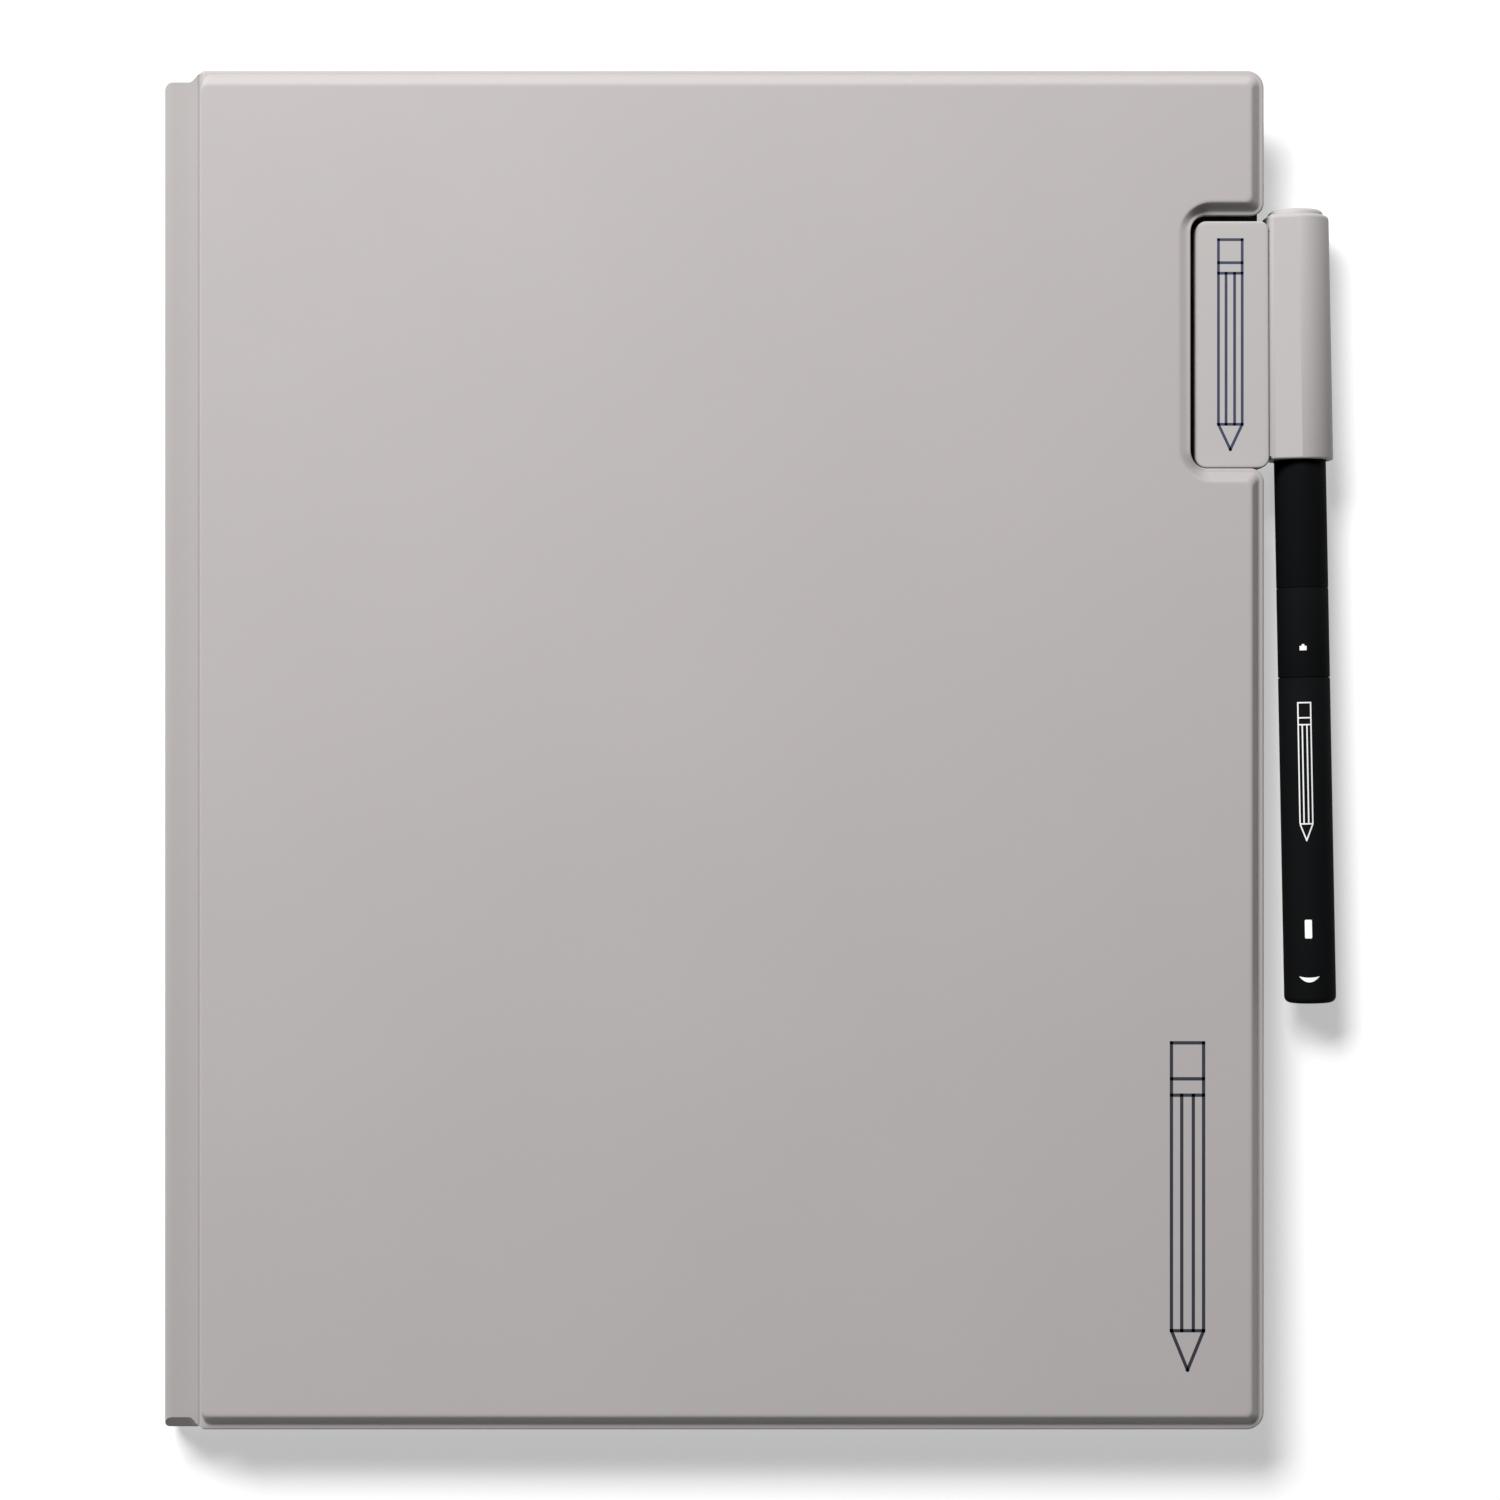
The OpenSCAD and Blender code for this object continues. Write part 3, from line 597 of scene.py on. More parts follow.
FRONT_CORNERS = [
    (front_low.x, front_low.y), (front_high.x, front_low.y),
    (front_high.x, notch_y0), (notch_x, notch_y0), (notch_x, notch_y1), (front_high.x, notch_y1),
    (front_high.x, front_high.y), (front_low.x, front_high.y),
]
FRONT_RADII = [
    SPINE_CORNER_R, CORNER_R, NOTCH_OUT_R, NOTCH_IN_R, NOTCH_IN_R, NOTCH_OUT_R, CORNER_R, SPINE_CORNER_R,
]
# The step is narrower round the notch, and steep beside the crease
STEP_SHARE = [1, 0.9, 0.9, 0.75, 0.8, 0.9, 1, 0.08]
# The hollow for the board comes closer to the crease than to the other sides
POCKET_SHARE = [1, 1, 1, 1, 1, 1, 1, 0.4]
BACK_CORNERS = rectangle(back_low, back_high)
BACK_RADII = [0.9 * MM, CORNER_R, CORNER_R, 1.5 * MM]
# Inset and height of the rim's rounded inner edge, from the face that meets the other cover
UNDER_EDGE = [(0.3 * MM, 0.0), (0.06 * MM, 0.12 * MM)]


def panel_profile(rim_z, panel_z, side):
    """Inset and height of the outer skin from the rim's edge to the raised panel.
    side is +1 for a panel that rises and -1 for one that faces down."""
    foot, top = RIM_W, RIM_W + SLOPE_W
    steps = [(0.0, -0.42 * MM), (0.1 * MM, -0.14 * MM), (0.34 * MM, 0.0)]
    rim = [(d, rim_z + side * h) for d, h in steps]
    rise = abs(panel_z - rim_z)
    bend = [(-0.22, 0.0), (-0.04, 0.03), (0.12, 0.13), (0.5, 0.52),
            (0.86, 0.87), (0.99, 0.965), (1.16, 1.0), (1.4, 1.0)]
    slope = [(foot + s * (top - foot), rim_z + side * h * rise) for s, h in bend]
    return rim + slope


def cover_outline(inset):
    """The front cover's outline. Its two corners beside the crease are tight at the rim and the panel,
    and wider at the slope's foot."""
    away = abs(inset - RIM_W) / (RIM_W if inset < RIM_W else SLOPE_W)
    r = SPINE_CORNER_R + FOOT_SWELL * max(0.0, 1 - away) + inset
    return outline(FRONT_CORNERS, [r, *FRONT_RADII[1:-1], r], STEP_SHARE, inset)


def smooth(t):
    """0 to 1 in an S, held at its ends."""
    t = min(1.0, max(0.0, t))
    return t * t * (3 - 2 * t)


def beside_tab(index):
    """How much of the notch's inner side an outline point is on: 1 along it, 0 elsewhere, and between
    the two round its corners."""
    corner, k = divmod(index, ARC_STEPS + 1)
    t = smooth(k / ARC_STEPS)
    return {3: t, 4: 1 - t}.get(corner, 0.0)


def cover_shell():
    """The front cover's skin. Its step is much shallower along the notch's inner side."""
    z0, panel_z = front_low.z, front_high.z
    rim_z = z0 + SKIN_T
    pocket_levels = [(BOARD_INSET, panel_z - SKIN_T), (BOARD_INSET, z0)]
    rings = layered(FRONT_CORNERS, FRONT_RADII, POCKET_SHARE, pocket_levels)
    for inset, z in UNDER_EDGE:
        rings.append(at_height(cover_outline(inset), z0 + z))
    for inset, z in panel_profile(rim_z, panel_z, 1):
        ring = at_height(cover_outline(inset), z)
        for i, p in enumerate(ring):
            p.z = panel_z - (panel_z - z) * (1 - (1 - NOTCH_STEP) * beside_tab(i))
        rings.append(ring)
    return piece("cover_shell", chain(rings), "front_cover", "soft_skin", ["front_skin"], 60)


def back_shell():
    """The back cover's skin, with a step like the front cover's, facing down."""
    panel_z, top_z = back_low.z, back_high.z
    rim_z = panel_z + SLOPE_H
    levels = list(reversed(panel_profile(rim_z, panel_z, -1)))
    levels += [(inset, top_z - z) for inset, z in reversed(UNDER_EDGE)]
    levels += [(BOARD_INSET, top_z), (BOARD_INSET, panel_z + SKIN_T)]
    rings = layered(BACK_CORNERS, BACK_RADII, [1] * 4, levels)
    return piece("back_shell", chain(rings), "tray", "soft_skin", ["back_skin"], 60)


cover_shell()
back_shell()


# ---- spine

spine_low, spine_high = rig.box("spine_skin")
STRIP_LEN = front_high.y - front_low.y - 4.0 * MM
STRIP_LOW = spine_high.y - STRIP_LEN
WALL_LEAN = 0.9 * MM
BEND_R = 1.5 * MM
FLARE, FLARE_W = 1.9 * MM, 2.5 * MM
# The strip's sloped lower end: its depth, and the radius of its outer corner in plan
END_SLOPE, END_SLOPE_R = 2.0 * MM, 0.8 * MM
WALL_STEPS, BEND_STEPS, STRIP_STEPS = 4, 10, 16


def end_reach(x):
    """How far the folded edge runs past the strip's plain end, rising in an S towards the cover."""
    return FLARE * smooth((x - (front_low.x + 0.05 * MM - FLARE_W)) / FLARE_W)


def spine_section():
    """Outer and inner points (x, z) of the spine's section, from the wall's foot to the crease."""
    left, top, right = spine_low.x, spine_high.z, spine_high.x
    centre = Vector((left + WALL_LEAN + BEND_R, top - BEND_R))
    outer, inner = [], []
    for k in range(WALL_STEPS):
        t = k / WALL_STEPS
        p = Vector((left + WALL_LEAN * t, between(spine_low.z, centre.y, t)))
        outer.append(p)
        inner.append(p + Vector((SKIN_T, 0)))
    for k in range(BEND_STEPS + 1):
        a = math.radians(180 - 90 * k / BEND_STEPS)
        ray = Vector((math.cos(a), math.sin(a)))
        outer.append(centre + ray * BEND_R)
        inner.append(centre + ray * (BEND_R - SKIN_T))
    for k in range(1, STRIP_STEPS + 1):
        x = between(centre.x, right, k / STRIP_STEPS)
        outer.append(Vector((x, top)))
        inner.append(Vector((x, top - SKIN_T)))
    return outer, inner


def cut_at(x, edge_x, r):
    """How far a corner of radius r in plan sets the spine's end back, at x."""
    d = min(max(x - edge_x, 0.0), r)
    return r - math.sqrt(r ** 2 - (r - d) ** 2)


def spine_end(p, o, side):
    """Where the spine's skin ends in y, at a point p of its section with the outer point o beside it.
    At the lower end the wall follows the slope under the strip, then slants out to its foot."""
    if side < 0:
        knee = END_SLOPE - END_SLOPE_R
        drop = spine_high.z - o.y
        rest = max(0.0, drop - knee) / (spine_high.z - spine_low.z - knee)
        return STRIP_LOW - end_reach(p.x) - min(drop, knee) - (STRIP_LOW - spine_low.y - knee) * rest
    up = min(1.0, (p.y - spine_low.z) / (spine_high.z - BEND_R - spine_low.z))
    cut = cut_at(p.x, spine_low.x + WALL_LEAN * up, BEND_R) * max(0.0, up)
    return spine_high.y + end_reach(p.x) - cut


def end_slope(outer, sink):
    """The sloped plate under the strip's lower end, sunk a little into the skin."""
    left, top = spine_low.x, spine_high.z
    into = Vector((0, 1, -1)).normalized()
    rings = []
    for p in outer[WALL_STEPS + 2:]:
        reach, drop = end_reach(p.x), top - p.y
        deep = END_SLOPE - cut_at(p.x, left + WALL_LEAN, END_SLOPE_R)
        if reach > END_SLOPE - 0.4 * MM:
            break
        high = Vector((p.x, STRIP_LOW - reach - drop, p.y)) + into * sink
        low = Vector((p.x, STRIP_LOW - max(deep, reach), top - deep)) + into * sink
        rings.append([high, low, low + into * SKIN_T, high + into * SKIN_T])
    return chain(rings)


def spine_wrap():
    """The standing wall and the strip beside the crease, in one moulded skin.
    Its upper corner is rounded in plan, its lower end is sloped, and it flares out beside the crease."""
    outer, inner = spine_section()
    edge_r, plain = 0.14 * MM, 4.5 * MM
    # How much of edge_r each ring is pulled in by, and how far it lies from the end
    levels = [(1, 0), (0, edge_r), (0, edge_r + 0.25 * MM), (0, plain)]
    rings = []
    for side, (pull, inwards) in [(-1, v) for v in levels] + [(1, v) for v in reversed(levels)]:
        straight = STRIP_LOW if side < 0 else spine_high.y
        ring = []
        for here, there in ((outer, inner), (inner, outer)):
            points = []
            for p, q, o in zip(here, there, outer):
                moved = p + (q - p).normalized() * (edge_r * pull)
                y = spine_end(p, o, side) if inwards < plain else straight
                points.append(Vector((moved.x, y - side * inwards, moved.y)))
            ring.append(points)
        rings.append(ring[0] + list(reversed(ring[1])))
    verts, faces = chain(rings, False, False)
    n = len(outer)
    size = 2 * n
    for base, flip in ((0, False), ((len(rings) - 1) * size, True)):
        for k in range(n - 1):
            quad = (base + k, base + k + 1, base + size - 2 - k, base + size - 1 - k)
            faces.append(quad if flip else tuple(reversed(quad)))
    add_skin(verts, faces, end_slope(outer, edge_r * 0.7))
    return piece("spine_wrap", (verts, faces), "spine", "soft_skin", ["spine_skin"], 45, LOOKS["strip"])


def sheet_block(columns, rows, place):
    """A thin two-layer sheet. place maps a layer (0 or 1) and the shares of the way across and along
    to a point."""
    verts = []
    for layer in (0, 1):
        for i in range(columns + 1):
            verts += [place(layer, i / columns, k / rows) for k in range(rows + 1)]

    def at(layer, i, k):
        return (layer * (columns + 1) + i) * (rows + 1) + k

    faces = []
    for i in range(columns):
        for k in range(rows):
            faces.append((at(0, i, k), at(0, i + 1, k), at(0, i + 1, k + 1), at(0, i, k + 1)))
            faces.append((at(1, i, k), at(1, i, k + 1), at(1, i + 1, k + 1), at(1, i + 1, k)))
    for i in range(columns):
        faces.append((at(0, i, 0), at(1, i, 0), at(1, i + 1, 0), at(0, i + 1, 0)))
        faces.append((at(0, i, rows), at(0, i + 1, rows), at(1, i + 1, rows), at(1, i, rows)))
    for k in range(rows):
        faces.append((at(0, 0, k), at(0, 0, k + 1), at(1, 0, k + 1), at(1, 0, k)))
        faces.append((at(0, columns, k), at(1, columns, k), at(1, columns, k + 1), at(0, columns, k + 1)))
    return verts, faces


def crease_web():
    """The thin skin in the crease: level with the strip, a narrow groove, then the cover's edge."""
    x0, x1 = spine_high.x - 0.12 * MM, front_low.x + 0.45 * MM
    groove_x, groove_half, groove_depth = front_low.x - 0.42 * MM, 0.36 * MM, 0.3 * MM
    strip_top, cover_foot = spine_high.z - 0.03 * MM, front_low.z + 0.25 * MM
    thick, short = 0.45 * MM, 0.05 * MM

    def place(layer, t, s):
        x = between(x0, x1, t)
        dip = groove_depth * math.exp(-((x - groove_x) / groove_half) ** 2)
        reach = end_reach(x) - short
        y = between(STRIP_LOW - reach, spine_high.y + reach, s)
        return x, y, between(strip_top, cover_foot, t) - dip - layer * thick

    web = piece("crease_web", sheet_block(20, 60, place), None, "fold_skin", ["crease_skin"], 70)
    start = (spine_high.x + 0.05 * MM, 0, front_low.z)
    end = (front_low.x - 0.05 * MM, 0, front_low.z)
    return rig.blend(web, "spine", "front_cover", start=start, end=end)


def lower_fold():
    """The thin skin from the back shell's edge up to the spine wall's foot."""
    y0, y1 = spine_low.y + 0.3 * MM, spine_high.y - 0.4 * MM
    half = 0.24 * MM
    edge_z = back_low.z + SLOPE_H + 0.3 * MM
    foot_z = spine_low.z + 0.45 * MM
    x_low, x_high = back_low.x + half * 0.6, spine_low.x + SKIN_T * 0.5
    bulge = 0.12 * MM

    def place(layer, t, s):
        middle_x = between(x_low, x_high, t) - bulge * math.sin(math.pi * t)
        x = max(middle_x + half * (2 * layer - 1), spine_low.x + 0.02 * MM)
        return x, between(y0, y1, s), between(edge_z, foot_z, t)

    fold = piece("lower_fold", sheet_block(10, 60, place), None, "fold_skin", ["lower_fold_skin"], 70)
    start, end = (0, 0, back_high.z - 0.1 * MM), (0, 0, spine_low.z + 0.05 * MM)
    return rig.blend(fold, "tray", "spine", start=start, end=end)


spine_wrap()
crease_web()
lower_fold()


# ---- pen holder frame

pen_axis = Vector(JOINTS["pen_slide"]["axis"])
LEAN = math.atan2(pen_axis.x, -pen_axis.y)
barrel_low, barrel_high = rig.box("pen_front_barrel")
holder_point = (barrel_low + barrel_high) / 2
HOLDER = Matrix.Translation(holder_point) @ Matrix.Rotation(LEAN, 4, "Z")
PEN_R = (barrel_high.z - barrel_low.z) / 2
UP_PEN = -pen_axis
MARK_TURN = math.radians(10)


def span(node, radius):
    """Where a round node starts and ends along the pen's axis, from the holder's point."""
    low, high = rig.box(node)
    middle = ((low + high) / 2 - holder_point).dot(UP_PEN)
    half = ((high.y - low.y) / 2 - radius * math.sin(LEAN)) / math.cos(LEAN)
    return middle - half, middle + half


def lathe(profile, steps=72):
    """Vertices and faces of a profile of (radius, v) turned round the pen's axis, v along local +Y.
    A profile starts and ends at radius 0, where a very small face closes it."""
    rings = []
    for r, v in profile:
        r = max(r, 1e-6)
        rings.append([Vector((r * math.sin(a), v, r * math.cos(a))) for a in turns(steps)])
    return chain(rings)


def ring_lathe(profile, steps=72):
    """As lathe, for a closed profile such as a tube's wall."""
    rings = [[Vector((r * math.sin(a), v, r * math.cos(a))) for r, v in profile] for a in turns(steps)]
    return closed_chain(rings)


def rounded_tube(v0, v1, r_out, r_in, lip):
    """Closed wall profile of a tube with softened lips."""
    c = lip * 0.3
    return [
        (r_in, v0 + lip), (r_in + c, v0 + c), (r_in + lip, v0), (r_out - lip, v0), (r_out - c, v0 + c),
        (r_out, v0 + lip), (r_out, v1 - lip), (r_out - c, v1 - c), (r_out - lip, v1), (r_in + lip, v1),
        (r_in + c, v1 - c), (r_in, v1 - lip),
    ]


# ---- sleeve

SLEEVE_R = 6.03 * MM
SLEEVE_BORE = PEN_R + 0.3 * MM
SHOULDER_UP = 4.6 * MM
SHOULDER_R = 0.9 * MM
SLEEVE_STEPS = 96
TAB_LEN = tab_high.y - tab_low.y
# The seam between the tab and the sleeve's shoulder widens a little towards the bottom
TAB_EDGE_TOP, TAB_EDGE_LOW = tab_high.x + 0.25 * MM, tab_high.x + 0.42 * MM
SEAM_TOP, SEAM_LOW = 0.13 * MM, 0.33 * MM


def tab_edge_x(y):
    """Where the tab's edge beside the sleeve lies, at y."""
    return between(TAB_EDGE_TOP, TAB_EDGE_LOW, (tab_high.y - y) / TAB_LEN)


def shoulder_x(y):
    """Where the sleeve's shoulder lies, across the seam from the tab's edge."""
    return tab_edge_x(y) + between(SEAM_TOP, SEAM_LOW, (tab_high.y - y) / TAB_LEN)


def sleeve_section(inset, v):
    """Round section with a shoulder at its upper left, as the outline round both circles."""
    edge = shoulder_x(holder_point.y + v)
    u = (edge - holder_point.x + v * math.sin(LEAN)) / math.cos(LEAN) + SHOULDER_R
    shoulder = Vector((u, SHOULDER_UP))
    points = []
    for a in turns(SLEEVE_STEPS):
        n = Vector((math.cos(a), math.sin(a)))
        if shoulder.dot(n) + SHOULDER_R > SLEEVE_R:
            points.append(shoulder + n * max(SHOULDER_R - inset, 0.05 * MM))
        else:
            points.append(n * (SLEEVE_R - inset))
    return points


def sleeve_tube():
    """The sleeve, open at its lower end, with a rounded top edge round the end cap."""
    v0, v1 = span("pen_sleeve", SLEEVE_R)
    lip = 0.35 * MM
    top_round = 0.8 * MM
    wall_end = 1.0 * MM
    rings = []

    def bore_ring(r, v):
        rings.append([Vector((r * math.cos(a), v, r * math.sin(a))) for a in turns(SLEEVE_STEPS)])

    def outer_ring(inset, v):
        rings.append([Vector((p.x, v, p.y)) for p in sleeve_section(inset, v)])

    bore_ring(SLEEVE_BORE, v1 - wall_end)
    bore_ring(SLEEVE_BORE, v0 + lip)
    bore_ring(SLEEVE_BORE + lip * 0.3, v0 + lip * 0.3)
    bore_ring(SLEEVE_BORE + lip * 0.8, v0)
    outer_ring(lip, v0)
    outer_ring(lip * 0.3, v0 + lip * 0.3)
    outer_ring(0, v0 + lip)
    for a in quarter(6):
        outer_ring(top_round * (1 - math.cos(a)), v1 - top_round * (1 - math.sin(a)))
    return piece("sleeve_tube", chain(rings), "tray", "tab_skin", ["pen_sleeve"], 60, LOOKS["sleeve"], HOLDER)


def sleeve_dome():
    """The cap on the sleeve's top: a short wall, then a rounded edge."""
    base_r = 5.0 * MM
    wall, edge_r = 0.25 * MM, 0.85 * MM
    v0, v1 = span("sleeve_end_cap", base_r)
    profile = [(0, v0), (base_r, v0)]
    for a in quarter(6):
        profile.append((base_r - edge_r * (1 - math.cos(a)), v0 + wall + (v1 - v0 - wall) * math.sin(a)))
    profile.append((0, v1))
    return piece("sleeve_dome", lathe(profile), "tray", "tab_skin", ["sleeve_end_cap"], 60,
                 LOOKS["sleeve"], HOLDER)


sleeve_tube()
sleeve_dome()
softened("holder_strap", "soft_skin", 0.15 * MM, "tray")


# ---- tab

def tab_pad():
    """The tab's soft face, with a rounded edge and a hollow below."""
    corners = [(tab_low.x, tab_low.y), (TAB_EDGE_LOW, tab_low.y),
               (TAB_EDGE_TOP, tab_high.y), (tab_low.x, tab_high.y)]
    radii = [2.1 * MM, 2.0 * MM, 1.6 * MM, 2.1 * MM]
    z0, z1 = tab_low.z, tab_high.z
    wall, top_t, foot, edge = 1.3 * MM, 0.8 * MM, 0.2 * MM, 0.4 * MM
    levels = [(wall, z1 - top_t), (wall, z0), (foot, z0), (0, z0 + foot)]
    levels += [(edge * (1 - math.cos(a)), z1 - edge * (1 - math.sin(a))) for a in quarter(5)]
    levels.append((edge + 0.5 * MM, z1))
    rings = layered(corners, radii, [1] * 4, levels, 8)
    return piece("tab_pad", chain(rings), "tab", "tab_skin", ["tab_shell"], 60)


def tab_web():
    """The thin hinge skin under the seam between the tab and the sleeve's shoulder."""
    y0, y1 = tab_low.y + 2.2 * MM, tab_high.y - 2.0 * MM
    z = tab_high.z - 0.55 * MM
    thick, lap = 0.35 * MM, 0.3 * MM

    def place(layer, t, s):
        y = between(y0, y1, s)
        return between(tab_edge_x(y) - lap, shoulder_x(y) + lap, t), y, z - layer * thick

    web = piece("tab_web", sheet_block(8, 40, place), None, "fold_skin", ["tab_hinge_web"], 70)
    start = (SEAM_LOW + TAB_EDGE_LOW + 0.1 * MM, 0, 0)
    end = (TAB_EDGE_TOP - 0.1 * MM, 0, 0)
    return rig.blend(web, "tray", "tab", start=start, end=end)


tab_pad()
tab_web()


# ---- pen

def pen_piece(name, profile, slot, body, node, tube=True):
    """A piece turned round the pen's axis; a tube's profile is its closed wall."""
    skin = ring_lathe(profile) if tube else lathe(profile)
    return piece(name, skin, body, slot, [node], 40, place=HOLDER)


BARREL_BORE = 3.5 * MM
LIP = 0.12 * MM


def pen_front():
    """The front barrel, and the nose and refill that the sleeve hides."""
    v0, v1 = span("pen_front_barrel", PEN_R)
    barrel = rounded_tube(v0, v1, PEN_R, BARREL_BORE, LIP)
    pen_piece("pen_front_tube", barrel, "pen_black", "pen", "pen_front_barrel")
    n0, n1 = span("pen_nose", PEN_R)
    bore = 1.3 * MM
    reach = n1 - n0
    # The nose's radius in mm, at shares of its length
    curve = [(4.68, 0.02), (4.6, 0.12), (4.3, 0.28), (3.75, 0.46),
             (3.1, 0.64), (2.45, 0.8), (1.9, 0.94), (1.7, 1.0)]
    wall = [(bore, n0), (PEN_R - LIP, n0)] + [(r * MM, n0 + t * reach) for r, t in curve] + [(bore, n1)]
    pen_piece("pen_nose_cone", wall, "pen_nose", "pen", "pen_nose")
    refill_r = 1.15 * MM
    r0, r1 = span("ink_refill", refill_r)
    tip = [(0, r0), (refill_r, r0), (refill_r, r1 - 2.4 * MM), (0.9 * MM, r1 - 1.5 * MM),
           (0.45 * MM, r1 - 0.5 * MM), (0.35 * MM, r1 - 0.15 * MM), (0.2 * MM, r1 - 0.02 * MM), (0, r1)]
    pen_piece("refill_tube", tip, "refill", "pen", "ink_refill", False)


def pen_band():
    """The band between the barrels, a little short of both so that its seams show."""
    v0, v1 = span("pen_mid_band", PEN_R)
    seam, bore = 0.03 * MM, 3.0 * MM
    wall = rounded_tube(v0 + seam, v1 - seam, PEN_R, bore, LIP * 1.6)
    pen_piece("pen_band", wall, "pen_black", "pen", "pen_mid_band")


def pen_thread():
    """The spigot that the rear barrel pushes on to, with a screw thread's ridges."""
    r, inner_r, bore = 3.9 * MM, 3.0 * MM, 2.6 * MM
    ridge, pitch = 0.28 * MM, 1.0 * MM
    low, high = span("pen_thread", r)
    v_step = span("pen_mid_band", PEN_R)[0]
    profile = [(bore, low), (r - 0.5 * MM, low)]
    v = low + 0.6 * MM
    while v + pitch < v_step - 1.2 * MM:
        profile += [(r - ridge, v), (r, v + pitch * 0.35)]
        profile += [(r, v + pitch * 0.5), (r - ridge, v + pitch * 0.85)]
        v += pitch
    profile += [(r, v_step - 0.8 * MM), (r, v_step), (inner_r, v_step), (inner_r, high), (bore, high)]
    pen_piece("pen_screw", profile, "pen_nose", "pen", "pen_thread")


def pen_rear():
    """The rear barrel, with a round end and a bore for the thread."""
    v0, v1 = span("pen_rear_barrel", PEN_R)
    end_r = 1.2 * MM
    bore, depth = 4.0 * MM, 14 * MM
    profile = [(0, v0), (PEN_R * 0.45, v0 + 0.02 * MM)]
    for a in quarter(7):
        profile.append((PEN_R - end_r * (1 - math.sin(a)), v0 + 0.05 * MM + end_r * (1 - math.cos(a))))
    profile += [(PEN_R, v1 - LIP * 2), (PEN_R - LIP * 0.6, v1 - LIP * 0.6), (PEN_R - LIP * 2, v1)]
    profile += [(bore, v1), (bore, v1 - depth), (0, v1 - depth)]
    pen_piece("pen_rear_tube", profile, "pen_black", "pen_rear", "pen_rear_barrel", False)


def on_pen(u, v, lift):
    """A point on the pen's surface, u metres round from the line its marks are on."""
    a = u / PEN_R - MARK_TURN
    r = PEN_R + lift
    return Vector((r * math.sin(a), v, r * math.cos(a)))


def inlay(name, half, low, high, body, node, columns=18, lift=0.04 * MM, sink=0.25 * MM):
    """A white inlay wrapped on the pen: from -half to half round it, between low(u) and high(u)."""
    rings = []
    for i in range(columns + 1):
        u = -half + 2 * half * i / columns
        a, b = low(u), high(u)
        rings.append([on_pen(u, a, lift), on_pen(u, b, lift), on_pen(u, b, -sink), on_pen(u, a, -sink)])
    return piece(name, chain(rings), body, "white_inlay", [node], 40, place=HOLDER)


def middle_on_pen(node):
    """How far along the pen's axis a node's middle lies, from the holder's point."""
    low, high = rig.box(node)
    return ((low + high) / 2 - holder_point).dot(UP_PEN)


def window_inlay():
    """A short bar with slightly rounded corners."""
    middle = middle_on_pen("rear_window")
    half, reach, r = 0.64 * MM, 1.7 * MM, 0.2 * MM

    def end(u):
        d = max(0.0, abs(u) - (half - r))
        return reach - r + math.sqrt(max(0.0, r * r - d * d))

    inlay("window_inlay", half, lambda u: middle - end(u), lambda u: middle + end(u),
          "pen_rear", "rear_window")


def crescent_inlay():
    """A crescent whose horns point towards the sleeve."""
    horns = middle_on_pen("rear_crescent") + 0.45 * MM
    half, outer, inner, blunt = 1.85 * MM, 1.05 * MM, 0.22 * MM, 0.01 * MM

    def bow(u):
        return max(0.0, 1 - (u / half) ** 2)

    inlay("crescent_inlay", half, lambda u: horns - outer * bow(u) - blunt,
          lambda u: horns - inner * bow(u) + blunt, "pen_rear", "rear_crescent", 28)


def band_painted_glint():
    """A small block with a raised middle, white all over: the bump is real, and its white is a painted highlight that
    stands for the glint off the bump on the band.
    """
    middle = middle_on_pen("band_mark")
    half, low, shoulder = 0.62 * MM, 0.5 * MM, 0.3 * MM
    peak, peak_half = 0.62 * MM, 0.22 * MM

    def top(u):
        return middle + (peak if abs(u) < peak_half else shoulder)

    # The white inlay look here is a painted highlight for the bump's glint
    inlay("band_painted_glint", half, lambda u: middle - low, top, "pen", "band_mark", 24)


pen_front()
pen_band()
pen_thread()
pen_rear()
window_inlay()
crescent_inlay()
band_painted_glint()


# ---- generic pencil marks

def pencil_strokes(length, width):
    """Straight strokes of a plain pencil drawing, tip at the low end, as pairs of (u, v) ends."""
    half, end, tip = width / 2, length / 2, length * 0.12
    shaft = -end + tip
    outer = [(-half, end), (-half, shaft), (0, -end), (half, shaft), (half, end), (-half, end)]
    strokes = list(zip(outer[:-1], outer[1:]))
    for v in (end - length * 0.11, end - length * 0.16, shaft):
        strokes.append(((-half, v), (half, v)))
    for u in (-half * 0.36, half * 0.36):
        strokes.append(((u, shaft), (u, end - length * 0.16)))
    return strokes


def mark_mesh(length, width, stroke, place, depth):
    """Thin raised print along every stroke: place maps (u, v, lift) to a point."""
    verts, faces = [], []
    for a, b in pencil_strokes(length, width):
        a, b = Vector(a), Vector(b)
        along = (b - a).normalized() * (stroke / 2)
        side = Vector((-along.y, along.x))
        a, b = a - along, b + along
        steps = max(1, math.ceil(abs(b.x - a.x) / (0.25 * MM)))
        rings = []
        for k in range(steps + 1):
            c = a + (b - a) * (k / steps)
            low, high = c - side, c + side
            rings.append([place(low.x, low.y, 0), place(high.x, high.y, 0),
                          place(high.x, high.y, depth), place(low.x, low.y, depth)])
        add_skin(verts, faces, chain(rings))
    return verts, faces


# Length, width and stroke of each mark
COVER_MARK = (59 * MM, 5.8 * MM, 0.6 * MM)
TAB_MARK = (38 * MM, 4.3 * MM, 0.5 * MM)
PEN_MARK = (25 * MM, 2.3 * MM, 0.24 * MM)
PRINT_SINK = 0.01 * MM


def flat_mark(name, centre, size, look, body, slot):
    """A pencil printed on a flat face."""
    def place(u, v, lift):
        return Vector((centre[0] + u, centre[1] + v, centre[2] - PRINT_SINK + lift))

    return piece(name, mark_mesh(*size, place, 0.03 * MM), body, slot, (), 30, look)


